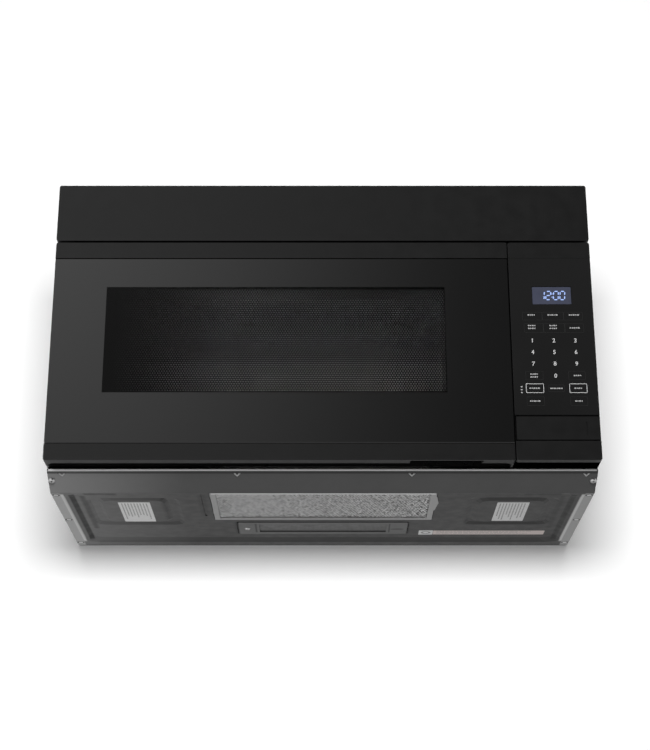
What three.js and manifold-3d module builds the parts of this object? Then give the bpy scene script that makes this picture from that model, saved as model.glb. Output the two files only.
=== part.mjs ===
// Over the range microwave oven with a recirculating hood, 30-inch class.
// Millimetres, +Z up. The pieces are laid out in the "bench" frame: X to the right and centred,
// Y backwards from the front face of the door, Z upwards from the lower edge of the door.
// The finished group is moved so that its origin is the middle of the back face.
import * as THREE from 'three';
import { mergeVertices } from 'three/addons/utils/BufferGeometryUtils.js';
import Module from 'manifold-3d';

const wasm = await Module();
wasm.setup();

// ---- driving dimensions ----
const WIDTH = 759;            // across the door and the control panel
const FRONT_HEIGHT = 412;     // door edge to the top
const PAN_DROP = 23.5;        // base pan below the door edge
const DEPTH = 380;            // front face of the door to the wall
const CASE_INSET = 0.5;       // casing side behind the front's edge
const CLEAR = 0.3;            // between pieces that touch
const SHEET = 1;              // casing and pan steel
const PLASTIC = 3;            // moulded walls

const VENT_HEIGHT = 87;       // plain panel along the top
const VENT_GAP = 3;           // dark air gap under it
const DOOR_DEPTH = 37.5;
const DOOR_RUNNING_GAP = 2.5; // door to casing front
const PANEL_WIDTH = 117.3;    // control panel and the seam beside it
const DOOR_SEAM = 1;          // door to control panel
const TOP_STRIP = 24;         // plain strip above the glass
const BOTTOM_STRIP = 23.6;    // plain strip below the glass
const GLASS = 4;

const LEFT = -WIDTH / 2;
const RIGHT = WIDTH / 2;
const CASE_FRONT = DOOR_DEPTH + DOOR_RUNNING_GAP;
const CASE_HALF = WIDTH / 2 - CASE_INSET;
const PAN_BOTTOM = -PAN_DROP;
const VENT_BOTTOM = FRONT_HEIGHT - VENT_HEIGHT;
const DOOR_TOP = VENT_BOTTOM - VENT_GAP;
const DOOR_RIGHT = RIGHT - PANEL_WIDTH;
const PANEL_LEFT = DOOR_RIGHT + DOOR_SEAM;

// ---- oven cavity (inside sizes) ----
const CAVITY = {
  left: LEFT + 34.5, right: DOOR_RIGHT - 57.2, floor: 45, roof: DOOR_TOP - 32,
  front: CASE_FRONT, back: DEPTH - 18,
};
const CAVITY_WALL = 1;
const TABLE = { x: (CAVITY.left + CAVITY.right) / 2, y: (CAVITY.front + CAVITY.back) / 2 };

// ---- materials ----
function finish(color, roughness, metalness = 0) {
  return new THREE.MeshStandardMaterial({ color, roughness, metalness });
}
const blackPaint = () => finish(0x3c3c3e, 0.45, 0.3);
const blackPlastic = () => finish(0x2a2a2c, 0.5);
const glossGlass = () => finish(0x101012, 0.08);
const zinc = () => finish(0xa9adb0, 0.4, 0.9);
const enamel = () => finish(0xd8d6cf, 0.35);
const whitePlastic = () => finish(0xdddcd6, 0.5);
const copper = () => finish(0xb5673a, 0.4, 0.8);

// ---- solids ----
function solid(geometry) {
  const bare = geometry.clone();
  bare.deleteAttribute('normal');
  bare.deleteAttribute('uv');
  const merged = mergeVertices(bare, 1e-4);
  return new wasm.Manifold(new wasm.Mesh({
    numProp: 3,
    vertProperties: new Float32Array(merged.attributes.position.array),
    triVerts: new Uint32Array(merged.index.array),
  }));
}

function join(first, ...others) {
  return others.reduce((whole, piece) => whole.add(piece), first);
}

function cut(body, ...tools) {
  return tools.reduce((rest, tool) => rest.subtract(tool), body);
}

function geometryOf(body) {
  const mesh = body.getMesh();
  const geometry = new THREE.BufferGeometry();
  geometry.setAttribute('position', new THREE.BufferAttribute(new Float32Array(mesh.vertProperties), 3));
  geometry.setIndex(new THREE.BufferAttribute(new Uint32Array(mesh.triVerts), 1));
  geometry.computeVertexNormals();
  return geometry;
}

function block(x0, x1, y0, y1, z0, z1) {
  const box = new THREE.BoxGeometry(x1 - x0, y1 - y0, z1 - z0);
  return solid(box.translate((x0 + x1) / 2, (y0 + y1) / 2, (z0 + z1) / 2));
}

// A flat outline (THREE.Shape) made as thick as the stretch from a to b along one axis.
// The outline's axes are Y,Z for 'x', X,Z for 'y' and X,Y for 'z'.
// Each arc of the outline is drawn as about so many straight pieces.
function prism(shape, axis, a, b, pieces = 4) {
  const curveSegments = Math.ceil(pieces / 2);
  const geometry = new THREE.ExtrudeGeometry(shape, { depth: b - a, bevelEnabled: false, curveSegments });
  const [X, Y, Z] = [new THREE.Vector3(1, 0, 0), new THREE.Vector3(0, 1, 0), new THREE.Vector3(0, 0, 1)];
  const turn = new THREE.Matrix4();
  if (axis === 'x') turn.makeBasis(Y, Z, X).setPosition(a, 0, 0);
  if (axis === 'y') turn.makeBasis(X, Z, Y.clone().negate()).setPosition(0, b, 0);
  if (axis === 'z') turn.setPosition(0, 0, a);
  return solid(geometry.applyMatrix4(turn));
}

function outline(points) {
  return new THREE.Shape(points.map(([u, v]) => new THREE.Vector2(u, v)));
}

function roundedRect(u0, u1, v0, v1, radius) {
  const shape = new THREE.Shape();
  const quarter = Math.PI / 2;
  shape.absarc(u1 - radius, v0 + radius, radius, -quarter, 0, false);
  shape.absarc(u1 - radius, v1 - radius, radius, 0, quarter, false);
  shape.absarc(u0 + radius, v1 - radius, radius, quarter, 2 * quarter, false);
  shape.absarc(u0 + radius, v0 + radius, radius, 2 * quarter, 3 * quarter, false);
  shape.closePath();
  return shape;
}

function disc(u, v, radius) {
  const shape = new THREE.Shape();
  shape.absarc(u, v, radius, 0, 2 * Math.PI, false);
  return shape;
}

function rod(axis, u, v, radius, a, b, sides = 16) {
  return prism(disc(u, v, radius), axis, a, b, sides);
}

function tube(axis, u, v, outer, inner, a, b, sides = 24) {
  const ring = disc(u, v, outer);
  ring.holes.push(disc(u, v, inner));
  return prism(ring, axis, a, b, sides);
}

// A line of sheet metal seen end on, as a closed outline of even thickness on the left of the line.
function bentSheet(points, thickness) {
  const line = points.map(([u, v]) => new THREE.Vector2(u, v));
  const side = line.map((point, i) => {
    const before = i > 0 ? point.clone().sub(line[i - 1]).normalize() : null;
    const after = i < line.length - 1 ? line[i + 1].clone().sub(point).normalize() : null;
    const [d, e] = [before ?? after, after ?? before];
    const normal = new THREE.Vector2(-d.y - e.y, d.x + e.x).normalize();
    const reach = thickness / Math.max(0.4, normal.dot(new THREE.Vector2(-d.y, d.x)));
    return point.clone().addScaledVector(normal, reach);
  });
  return new THREE.Shape([...line, ...side.reverse()]);
}

// A tapered block between two levels: rect [x0, x1, y0, y1] at level a, drawn in by run at level b.
function frustum([x0, x1, y0, y1], radius, run, a, b) {
  const lower = roundedRect(x0, x1, y0, y1, radius);
  const geometry = new THREE.ExtrudeGeometry(lower, { depth: 1, bevelEnabled: false, curveSegments: 1 });
  const place = geometry.attributes.position;
  const [cx, cy] = [(x0 + x1) / 2, (y0 + y1) / 2];
  const shrink = [1 - 2 * run / (x1 - x0), 1 - 2 * run / (y1 - y0)];
  for (let i = 0; i < place.count; i++) {
    const top = place.getZ(i) > 0.5;
    if (top) place.setXY(i, cx + (place.getX(i) - cx) * shrink[0], cy + (place.getY(i) - cy) * shrink[1]);
    place.setZ(i, top ? b : a);
  }
  return solid(b > a ? geometry : flipped(geometry));
}

function flipped(geometry) {
  const turned = geometry.clone();
  const place = turned.attributes.position;
  for (let i = 0; i < place.count; i += 3) {
    const [x, y, z] = [place.getX(i), place.getY(i), place.getZ(i)];
    place.setXYZ(i, place.getX(i + 1), place.getY(i + 1), place.getZ(i + 1));
    place.setXYZ(i + 1, x, y, z);
  }
  return turned;
}

// Presses a panel of the sheet whose lower face is at level, up by height or down if it is negative.
function press(sheet, rect, radius, run, level, height) {
  const slope = run / Math.abs(height);
  const grown = (by) => [rect[0] - by, rect[1] + by, rect[2] - by, rect[3] + by];
  const up = Math.sign(height);
  const [near, far] = up > 0 ? [level, level + SHEET] : [level + SHEET, level];
  const tool = (start, end, extra) => {
    const from = start - up * extra;
    return frustum(grown(slope * extra), radius + slope * extra, run + slope * extra, from, end);
  };
  const shell = tool(far, far + height, SHEET * 0.9);
  const hollow = tool(near, near + height, 0.5);
  return cut(join(sheet, shell), hollow);
}

const part = new THREE.Group();

function node(name, body, material, parent = part) {
  const mesh = new THREE.Mesh(body.isBufferGeometry ? body : geometryOf(body), material);
  mesh.name = name;
  parent.add(mesh);
  return mesh;
}

// ---- casing ----
const FLANGE = 14;                 // flat side flange of the pan
const PAN_STEP = { run: 13, rise: 4, front: 96, back: DEPTH - 28 };
const BEVEL_START = [CASE_FRONT + 0.5, -5];
const BEVEL_END = [80, PAN_BOTTOM];
const LIP = { front: CASE_FRONT - 1.6, top: -1.2 };
const PAN_FLOOR = PAN_BOTTOM + PAN_STEP.rise;
const BACK_SHEET = 1.2;
const SIDE_LIP = 11;                // inward lip of the cover that the pan is screwed to
const FILTER = { x0: -158.5, x1: 160.5, y0: 84.5, y1: DEPTH - 145, thick: 8, rim: 8, gap: 1.2 };
const LAMP_COVER = { x0: -127, x1: 127.5, y0: DEPTH - 126, y1: DEPTH - 60, gap: 1.2, wall: 1.5 };
const LAMP_LENS = { x0: -98, x1: 98.5, y0: LAMP_COVER.y0 + 8, y1: LAMP_COVER.y1 - 7, thick: 2.5 };
const EMBOSS = {
  rise: 3, run: 6, radius: 14,
  outer: [
    [-CASE_HALF + 41.5, -CASE_HALF + 175, 121, DEPTH - 111],
    [CASE_HALF - 171, CASE_HALF - 42.4, 116, DEPTH - 112],
  ],
  inner: [
    [-CASE_HALF + 64, -CASE_HALF + 152, 121, DEPTH - 124],
    [CASE_HALF - 154, CASE_HALF - 61, 122, DEPTH - 124],
  ],
};
const PAN_SCREWS = { x: CASE_HALF - 6, y: [92, DEPTH - 155, DEPTH - 20], hole: 2.2 };
const BEVEL_SCREW = { x: CASE_HALF - 5, y: 55.5, hole: 2.6 };
const AIR_SLOT = { x: FILTER.x0 - 12, y0: FILTER.y0 + 18.5, y1: FILTER.y1 - 16, width: 3 };

function bevelHeight(y) {
  const t = (y - BEVEL_START[0]) / (BEVEL_END[0] - BEVEL_START[0]);
  return BEVEL_START[1] + t * (BEVEL_END[1] - BEVEL_START[1]);
}

function basePan() {
  const line = [
    [CASE_FRONT + 1.6, LIP.top], [CASE_FRONT, LIP.top + 0.2], [LIP.front, -2.6], [CASE_FRONT - 0.9, -4.4],
    BEVEL_START, BEVEL_END, [DEPTH - BACK_SHEET - CLEAR - SHEET, PAN_BOTTOM],
  ];
  let pan = prism(bentSheet(line, SHEET), 'x', -CASE_HALF, CASE_HALF);
  const rearWall = DEPTH - BACK_SHEET - CLEAR;
  const wallHalf = CASE_HALF - SIDE_LIP - CLEAR;
  pan = join(pan, block(-wallHalf, wallHalf, rearWall - SHEET - 0.5, rearWall, PAN_BOTTOM, PAN_BOTTOM + 14));
  const edge = CASE_HALF - FLANGE;
  pan = press(pan, [-edge, edge, PAN_STEP.front - PAN_STEP.run, PAN_STEP.back + PAN_STEP.run / 2],
    20, PAN_STEP.run, PAN_BOTTOM, PAN_STEP.rise);
  for (const rect of EMBOSS.outer) {
    pan = press(pan, rect, EMBOSS.radius, EMBOSS.run, PAN_FLOOR, EMBOSS.rise);
  }
  for (const [x0, x1, y0, y1] of EMBOSS.inner) {
    const rect = [x0 - EMBOSS.run, x1 + EMBOSS.run, y0 + EMBOSS.run + 2, y1 + 1];
    pan = press(pan, rect, EMBOSS.radius, EMBOSS.run, PAN_FLOOR + EMBOSS.rise, -EMBOSS.rise);
  }
  const under = PAN_BOTTOM - 5;
  const over = PAN_BOTTOM + 12;
  const opening = (o) => prism(roundedRect(o.x0 - o.gap, o.x1 + o.gap, o.y0 - o.gap, o.y1 + o.gap, 3),
    'z', under, over, 3);
  const slot = roundedRect(AIR_SLOT.x - AIR_SLOT.width / 2, AIR_SLOT.x + AIR_SLOT.width / 2,
    AIR_SLOT.y0, AIR_SLOT.y1, 1.4);
  const holes = [opening(FILTER), opening(LAMP_COVER), prism(slot, 'z', under, over, 2)];
  for (const side of [-1, 1]) {
    for (const y of PAN_SCREWS.y) {
      holes.push(rod('z', side * PAN_SCREWS.x, y, PAN_SCREWS.hole, under, over, 6));
    }
    holes.push(rod('z', side * BEVEL_SCREW.x, BEVEL_SCREW.y, BEVEL_SCREW.hole, under, over, 6));
  }
  return cut(pan, ...holes);
}

const COVER_BOTTOM = PAN_BOTTOM + SHEET + CLEAR;
const CORD_HOLE = { x: CASE_HALF - 94, y: DEPTH - 80, radius: 15, sides: 12 };
const TOP_BOLTS = { x: CASE_HALF - 129, y: 75, hole: 4 };

function outerCover() {
  const top = FRONT_HEIGHT;
  const bend = 3;
  const skin = new THREE.Shape();
  skin.moveTo(-CASE_HALF + SIDE_LIP, COVER_BOTTOM);
  skin.lineTo(-CASE_HALF, COVER_BOTTOM);
  skin.absarc(-CASE_HALF + bend, top - bend, bend, Math.PI, Math.PI / 2, true);
  skin.absarc(CASE_HALF - bend, top - bend, bend, Math.PI / 2, 0, true);
  skin.lineTo(CASE_HALF, COVER_BOTTOM);
  skin.lineTo(CASE_HALF - SIDE_LIP, COVER_BOTTOM);
  skin.lineTo(CASE_HALF - SIDE_LIP, COVER_BOTTOM + SHEET);
  skin.lineTo(CASE_HALF - SHEET, COVER_BOTTOM + SHEET);
  skin.absarc(CASE_HALF - bend, top - bend, bend - SHEET, 0, Math.PI / 2, false);
  skin.absarc(-CASE_HALF + bend, top - bend, bend - SHEET, Math.PI / 2, Math.PI, false);
  skin.lineTo(-CASE_HALF + SHEET, COVER_BOTTOM + SHEET);
  skin.lineTo(-CASE_HALF + SIDE_LIP, COVER_BOTTOM + SHEET);
  skin.closePath();
  let cover = prism(skin, 'y', CASE_FRONT, DEPTH - BACK_SHEET - CLEAR, 3);
  const away = PAN_BOTTOM - 20;
  const underBevel = outline([
    [CASE_FRONT - 5, away], [BEVEL_END[0] + 2, away], [BEVEL_END[0] + 2, COVER_BOTTOM],
    [CASE_FRONT + 2.5, bevelHeight(CASE_FRONT + 2.5) + SHEET + 1], [CASE_FRONT + 2.5, 1.5],
    [CASE_FRONT - 5, 1.5],
  ]);
  cover = cut(cover, prism(underBevel, 'x', -CASE_HALF - 5, CASE_HALF + 5));
  for (const side of [-1, 1]) {
    cover = cut(cover, rod('z', side * TOP_BOLTS.x, TOP_BOLTS.y, TOP_BOLTS.hole, top - 5, top + 5, 8));
    for (const y of PAN_SCREWS.y) {
      cover = cut(cover, rod('z', side * PAN_SCREWS.x, y, PAN_SCREWS.hole - 0.4, away, COVER_BOTTOM + 5, 6));
    }
  }
  return cut(cover, rod('z', CORD_HOLE.x, CORD_HOLE.y, CORD_HOLE.radius, top - 5, top + 5, CORD_HOLE.sides));
}

const HOOK_SLOT = { outermost: CASE_HALF - 79, z: 24, width: 18, height: 9 };
const REAR_VENT = { x: 130, z0: FRONT_HEIGHT - 94, z1: FRONT_HEIGHT - 20 };

function rearPanel() {
  const sheet = roundedRect(-CASE_HALF, CASE_HALF, PAN_BOTTOM, FRONT_HEIGHT, 2.5);
  for (const share of [-1, -1 / 3, 1 / 3, 1]) {
    const x = share * HOOK_SLOT.outermost;
    sheet.holes.push(roundedRect(x - HOOK_SLOT.width / 2, x + HOOK_SLOT.width / 2,
      HOOK_SLOT.z, HOOK_SLOT.z + HOOK_SLOT.height, 3));
  }
  sheet.holes.push(roundedRect(-REAR_VENT.x, REAR_VENT.x, REAR_VENT.z0, REAR_VENT.z1, 6));
  return prism(sheet, 'y', DEPTH - BACK_SHEET, DEPTH, 1);
}

function rearVentCover() {
  const lap = 10;
  const plate = roundedRect(-REAR_VENT.x - lap, REAR_VENT.x + lap, REAR_VENT.z0 - lap, REAR_VENT.z1 + lap, 6);
  const back = DEPTH - BACK_SHEET - CLEAR;
  const panel = prism(plate, 'y', back - 1, back, 2);
  const rib = (z) => block(-REAR_VENT.x + 20, REAR_VENT.x - 20, back - 3, back - 0.5, z - 3, z + 3);
  const middle = (REAR_VENT.z0 + REAR_VENT.z1) / 2;
  return join(panel, rib(middle - 18), rib(middle + 18));
}

const LOUVRE = { count: 20, pitch: (WIDTH - 119) / 20, width: 24, y0: 12, y1: 30 };
const FACE_RADIUS = 3;

// A hollow front moulding, open at the back, whose outline is [x0, x1, z0, z1].
function frontMoulding(x0, x1, z0, z1, depth, wall) {
  const outer = prism(roundedRect(x0, x1, z0, z1, FACE_RADIUS), 'y', 0, depth, 3);
  return cut(outer, block(x0 + wall, x1 - wall, wall, depth + 1, z0 + wall, z1 - wall));
}

function ventPanel() {
  let panel = frontMoulding(LEFT, RIGHT, VENT_BOTTOM, FRONT_HEIGHT, CASE_FRONT - CLEAR, PLASTIC);
  const first = -LOUVRE.pitch * (LOUVRE.count - 1) / 2;
  for (let i = 0; i < LOUVRE.count; i++) {
    const x = first + i * LOUVRE.pitch;
    panel = cut(panel, block(x - LOUVRE.width / 2, x + LOUVRE.width / 2, LOUVRE.y0, LOUVRE.y1,
      FRONT_HEIGHT - PLASTIC - 1, FRONT_HEIGHT + 1));
  }
  return panel;
}

// ---- oven cavity ----
const FLANGE_PLATE = {
  left: -CASE_HALF + SHEET + CLEAR, right: DOOR_RIGHT - 0.2, bottom: 3, top: DOOR_TOP - 1, turn: 10, notch: 3,
};
const LATCH = { x: DOOR_RIGHT - 27.2, hooks: [92, DOOR_TOP - 72], slotWidth: 11, slotHeight: 26 };
const SHAFT_HOLE = 9;
const ANTENNA_PORT = {
  y0: CAVITY.back - 197, y1: CAVITY.back - 117, z0: CAVITY.roof - 140, z1: CAVITY.roof - 100,
};
const LAMP_PORT = { y: CAVITY.back - 62, z: CAVITY.roof - 50, radius: 9 };
const SIDE_VENT = { y: 80, z: CAVITY.roof - 65, size: 6, pitch: 11, columns: 4, rows: 3 };

function ovenCavity() {
  const c = CAVITY;
  const w = CAVITY_WALL;
  const flange = block(FLANGE_PLATE.left, FLANGE_PLATE.right, c.front, c.front + w,
    FLANGE_PLATE.bottom, FLANGE_PLATE.top);
  const rim = [FLANGE_PLATE.top - w, FLANGE_PLATE.bottom].map((z) => block(
    FLANGE_PLATE.left + FLANGE_PLATE.notch, FLANGE_PLATE.right - FLANGE_PLATE.notch,
    c.front, c.front + FLANGE_PLATE.turn, z, z + w));
  const shell = block(c.left - w, c.right + w, c.front, c.back + w, c.floor - w, c.roof + w);
  const inside = prism(roundedRect(c.left, c.right, c.front - 1, c.back, 6), 'z', c.floor, c.roof, 2);
  const squareFront = block(c.left, c.right, c.front - 1, c.front + 12, c.floor, c.roof);
  const cavity = cut(join(flange, ...rim, shell), inside, squareFront);
  const ports = [
    rod('z', TABLE.x, TABLE.y, SHAFT_HOLE, c.floor - 5, c.floor + 5, 12),
    block(c.right - 5, c.right + 5, ANTENNA_PORT.y0, ANTENNA_PORT.y1, ANTENNA_PORT.z0, ANTENNA_PORT.z1),
    rod('x', LAMP_PORT.y, LAMP_PORT.z, LAMP_PORT.radius, c.right - 5, c.right + 5, 10),
  ];
  for (const z of LATCH.hooks) {
    ports.push(block(LATCH.x - LATCH.slotWidth / 2, LATCH.x + LATCH.slotWidth / 2, c.front - 2, c.front + 5,
      z - LATCH.slotHeight / 2, z + LATCH.slotHeight / 2));
  }
  const vents = [];
  const v = SIDE_VENT;
  for (let row = 0; row < v.rows; row++) {
    for (let i = 0; i < v.columns; i++) {
      const [y, z] = [v.y + i * v.pitch, v.z + row * v.pitch];
      vents.push(block(c.right - 5, c.right + 5, y, y + v.size, z, z + v.size));
    }
  }
  return cut(cavity, ...ports, ...vents);
}

// ---- door ----
const HINGE = { x: LEFT + 11.5, y: 26, pin: 3, bore: 3.4, plate: 2, half: 7, leg: 1, legHeight: 26 };
const LOWER_HINGE = { plate: 13, slot: [11.5, 16.5], pinTop: 27 };
const UPPER_HINGE = { plate: DOOR_TOP + 0.5, pinBottom: DOOR_TOP - 14 };
const WINDOW = { x0: LEFT + 71.5, x1: DOOR_RIGHT - 86.2, z0: 93, z1: DOOR_TOP - 65, radius: 5 };
const UNDERCUT = { y: 15, depth: 10, end: 4.5 };
const POCKET = { x0: DOOR_RIGHT - 143.2, x1: DOOR_RIGHT - 48.2, slant: 6, lip: 3, depth: 17 };
const CHOKE_BAY = { x0: LEFT + 29.5, x1: DOOR_RIGHT - 40.2, z0: 18, z1: DOOR_TOP - 20 };
const LATCH_BAY = { x0: LATCH.x - 7, x1: LATCH.x + 15, z0: 46, z1: DOOR_TOP - 26 };
const WEB = 4;                       // door frame behind the glass
const WEB_BACK = GLASS + CLEAR + WEB;
const GLASS_EDGE = 0.4;
const SCREEN = { back: 1, rim: 12, turn: 3 };

// The plan outline of the door, whose rear corner beside the hinge is round about the hinge pin.
function doorPlan() {
  const swing = HINGE.x - LEFT;
  const plan = new THREE.Shape();
  plan.moveTo(LEFT + 2, 0);
  plan.lineTo(DOOR_RIGHT - 2, 0);
  plan.absarc(DOOR_RIGHT - 2, 2, 2, -Math.PI / 2, 0, false);
  plan.lineTo(DOOR_RIGHT, DOOR_DEPTH);
  plan.absarc(HINGE.x, DOOR_DEPTH - swing, swing, Math.PI / 2, Math.PI, false);
  plan.absarc(LEFT + 2, 2, 2, Math.PI, 1.5 * Math.PI, false);
  plan.closePath();
  return plan;
}

function doorFrame() {
  const far = DOOR_DEPTH + 5;
  const frame = prism(doorPlan(), 'z', 0, DOOR_TOP, 5);
  const face = roundedRect(LEFT - 0.01, DOOR_RIGHT + 0.01, 0, DOOR_TOP, FACE_RADIUS);
  const corners = prism(face, 'y', -1, far, 3);
  const glassBay = block(LEFT - 1, DOOR_RIGHT + 1, -1, GLASS + CLEAR, BOTTOM_STRIP, DOOR_TOP - TOP_STRIP);
  const bay = CHOKE_BAY;
  const chokeBay = block(bay.x0, bay.x1, WEB_BACK, far, bay.z0, bay.z1);
  const opening = roundedRect(WINDOW.x0, WINDOW.x1, WINDOW.z0, WINDOW.z1, WINDOW.radius);
  const window = prism(opening, 'y', 0, far, 3);
  const latchBay = block(LATCH_BAY.x0, LATCH_BAY.x1, 12, far, LATCH_BAY.z0, LATCH_BAY.z1);
  const end = UNDERCUT.end;
  const undercut = prism(roundedRect(LEFT + end, DOOR_RIGHT - end, UNDERCUT.y, far + 20, 9),
    'z', -1, UNDERCUT.depth, 3);
  const backOnly = block(LEFT - 1, DOOR_RIGHT + 1, UNDERCUT.y, far, -1, UNDERCUT.depth);
  const pocket = prism(outline([
    [POCKET.x0, POCKET.lip + 2], [POCKET.x0 + 2, POCKET.lip], [POCKET.x1 + POCKET.slant - 2, POCKET.lip],
    [POCKET.x1 + POCKET.slant, POCKET.lip + 2], [POCKET.x1, UNDERCUT.y + 6], [POCKET.x0, UNDERCUT.y + 6],
  ]), 'z', -1, POCKET.depth);
  const slot = block(LEFT - 1, HINGE.x + 14, HINGE.y - 12, far, LOWER_HINGE.slot[0], LOWER_HINGE.slot[1]);
  const lowerBore = rod('z', HINGE.x, HINGE.y, HINGE.bore, LOWER_HINGE.slot[0], LOWER_HINGE.pinTop + 1, 12);
  const upperBore = rod('z', HINGE.x, HINGE.y, HINGE.bore, UPPER_HINGE.pinBottom - 1, DOOR_TOP + 1, 12);
  return cut(frame.intersect(corners), glassBay, chokeBay, window, latchBay,
    undercut.intersect(backOnly), pocket, slot, lowerBore, upperBore);
}

function plateWithEase(x0, x1, z0, z1, y0, y1, ease) {
  const shape = roundedRect(x0 + ease, x1 - ease, z0 + ease, z1 - ease, 1);
  const geometry = new THREE.ExtrudeGeometry(shape, {
    depth: y1 - y0 - 2 * ease, bevelThickness: ease, bevelSize: ease, bevelSegments: 1, curveSegments: 1,
  });
  const turn = new THREE.Matrix4().makeBasis(
    new THREE.Vector3(1, 0, 0), new THREE.Vector3(0, 0, 1), new THREE.Vector3(0, -1, 0));
  return solid(geometry.applyMatrix4(turn.setPosition(0, y1 - ease, 0)));
}

function doorGlass() {
  return plateWithEase(LEFT + GLASS_EDGE, DOOR_RIGHT - GLASS_EDGE, BOTTOM_STRIP + GLASS_EDGE * 2,
    DOOR_TOP - TOP_STRIP - GLASS_EDGE * 2, 0, GLASS, 0.8);
}

// Perforated screen: a flat sheet with a turned rim that is carried by the frame's web.
function doorScreen() {
  const y = WEB_BACK + CLEAR;
  const [x0, x1, z0, z1] = [WINDOW.x0 - SCREEN.rim, WINDOW.x1 + SCREEN.rim, WINDOW.z0 - SCREEN.rim,
    WINDOW.z1 + SCREEN.rim];
  const sheet = block(x0, x1, y, y + SCREEN.back, z0, z1);
  const rim = cut(block(x0, x1, y, y + SCREEN.turn, z0, z1),
    block(x0 + 1, x1 - 1, y - 1, y + 6, z0 + 1, z1 - 1));
  return join(sheet, rim);
}

const CHOKE = { wall: 1, depth: 22, ring: 26, tooth: 14, pitch: 34, cut: 7 };
const CHOKE_COVER = { thick: 3, lap: 4 };

// Inner door panel: a folded channel round the window whose inner wall is cut into a comb.
function doorChoke() {
  const bay = CHOKE_BAY;
  const y1 = DOOR_DEPTH - CHOKE_COVER.thick - CLEAR;
  const y0 = y1 - CHOKE.depth;
  const [x0, x1, z0, z1] = [bay.x0 + CLEAR, bay.x1 - CLEAR, bay.z0 + CLEAR, bay.z1 - CLEAR];
  const ring = (inset, from, to) => block(x0 + inset, x1 - inset, from, to, z0 + inset, z1 - inset);
  const w = CHOKE.wall;
  const channel = cut(ring(0, y0, y1), ring(w, y0 + w, y1 + 1));
  const innerWall = cut(ring(CHOKE.ring, y0, y1), ring(CHOKE.ring + w, y0 - 1, y1 + 1));
  const windowHole = block(WINDOW.x0, WINDOW.x1, y0 - 1, y1 + 1, WINDOW.z0, WINDOW.z1);
  const teeth = [];
  const inset = CHOKE.ring - 1;
  for (let x = x0 + 40; x < x1 - 40; x += CHOKE.pitch) {
    for (const z of [z0 + inset, z1 - inset - 3]) {
      teeth.push(block(x, x + CHOKE.cut, y1 - CHOKE.tooth, y1 + 1, z, z + 3));
    }
  }
  for (let z = z0 + 40; z < z1 - 40; z += CHOKE.pitch) {
    for (const x of [x0 + inset, x1 - inset - 3]) {
      teeth.push(block(x, x + 3, y1 - CHOKE.tooth, y1 + 1, z, z + CHOKE.cut));
    }
  }
  return cut(join(channel, innerWall), windowHole, join(...teeth));
}

function chokeCover() {
  const bay = CHOKE_BAY;
  const [y0, y1] = [DOOR_DEPTH - CHOKE_COVER.thick, DOOR_DEPTH];
  const edge = roundedRect(bay.x0 + CLEAR, bay.x1 - CLEAR, bay.z0 + CLEAR, bay.z1 - CLEAR, 5);
  const rim = WINDOW;
  const hole = prism(roundedRect(rim.x0 + 8, rim.x1 - 8, rim.z0 + 8, rim.z1 - 8, 8), 'y', y0 - 1, y1 + 1, 3);
  const rails = cut(block(rim.x0 - 4, rim.x1 + 4, y0 - 2, y1 - 1, rim.z0 - 4, rim.z1 + 4),
    block(rim.x0 - 1, rim.x1 + 1, y0 - 3, y0, rim.z0 - 1, rim.z1 + 1));
  return cut(join(prism(edge, 'y', y0, y1, 2), rails), hole);
}

const LEVER = { thick: 3, y0: 17, y1: 27, z0: 60, z1: DOOR_TOP - 50 };
const HOOK = { tip: 56, root: 8, nose: 12 };

function latchLever() {
  const half = LEVER.thick / 2;
  const bar = block(LATCH.x - half, LATCH.x + half, LEVER.y0, LEVER.y1, LEVER.z0, LEVER.z1);
  const hooks = LATCH.hooks.map((z) => prism(outline([
    [LEVER.y0 + 2, z - HOOK.root / 2], [HOOK.tip - 9, z - HOOK.root / 2], [HOOK.tip - 9, z - HOOK.nose],
    [HOOK.tip - 4, z - HOOK.nose], [HOOK.tip, z + 1], [HOOK.tip - 5, z + HOOK.root / 2],
    [LEVER.y0 + 2, z + HOOK.root / 2],
  ]), 'x', LATCH.x - LEVER.thick / 2, LATCH.x + LEVER.thick / 2));
  return join(bar, ...hooks);
}

// A helix of round wire about a vertical axis.
class Helix extends THREE.Curve {
  constructor(radius, height, turns) {
    super();
    Object.assign(this, { radius, height, turns });
  }

  getPoint(t, target = new THREE.Vector3()) {
    const angle = 2 * Math.PI * this.turns * t;
    return target.set(this.radius * Math.cos(angle), this.radius * Math.sin(angle), this.height * t);
  }
}

const SPRING = { radius: 3.6, wire: 0.5, turns: 7, steps: 8, sides: 4 };

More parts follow.
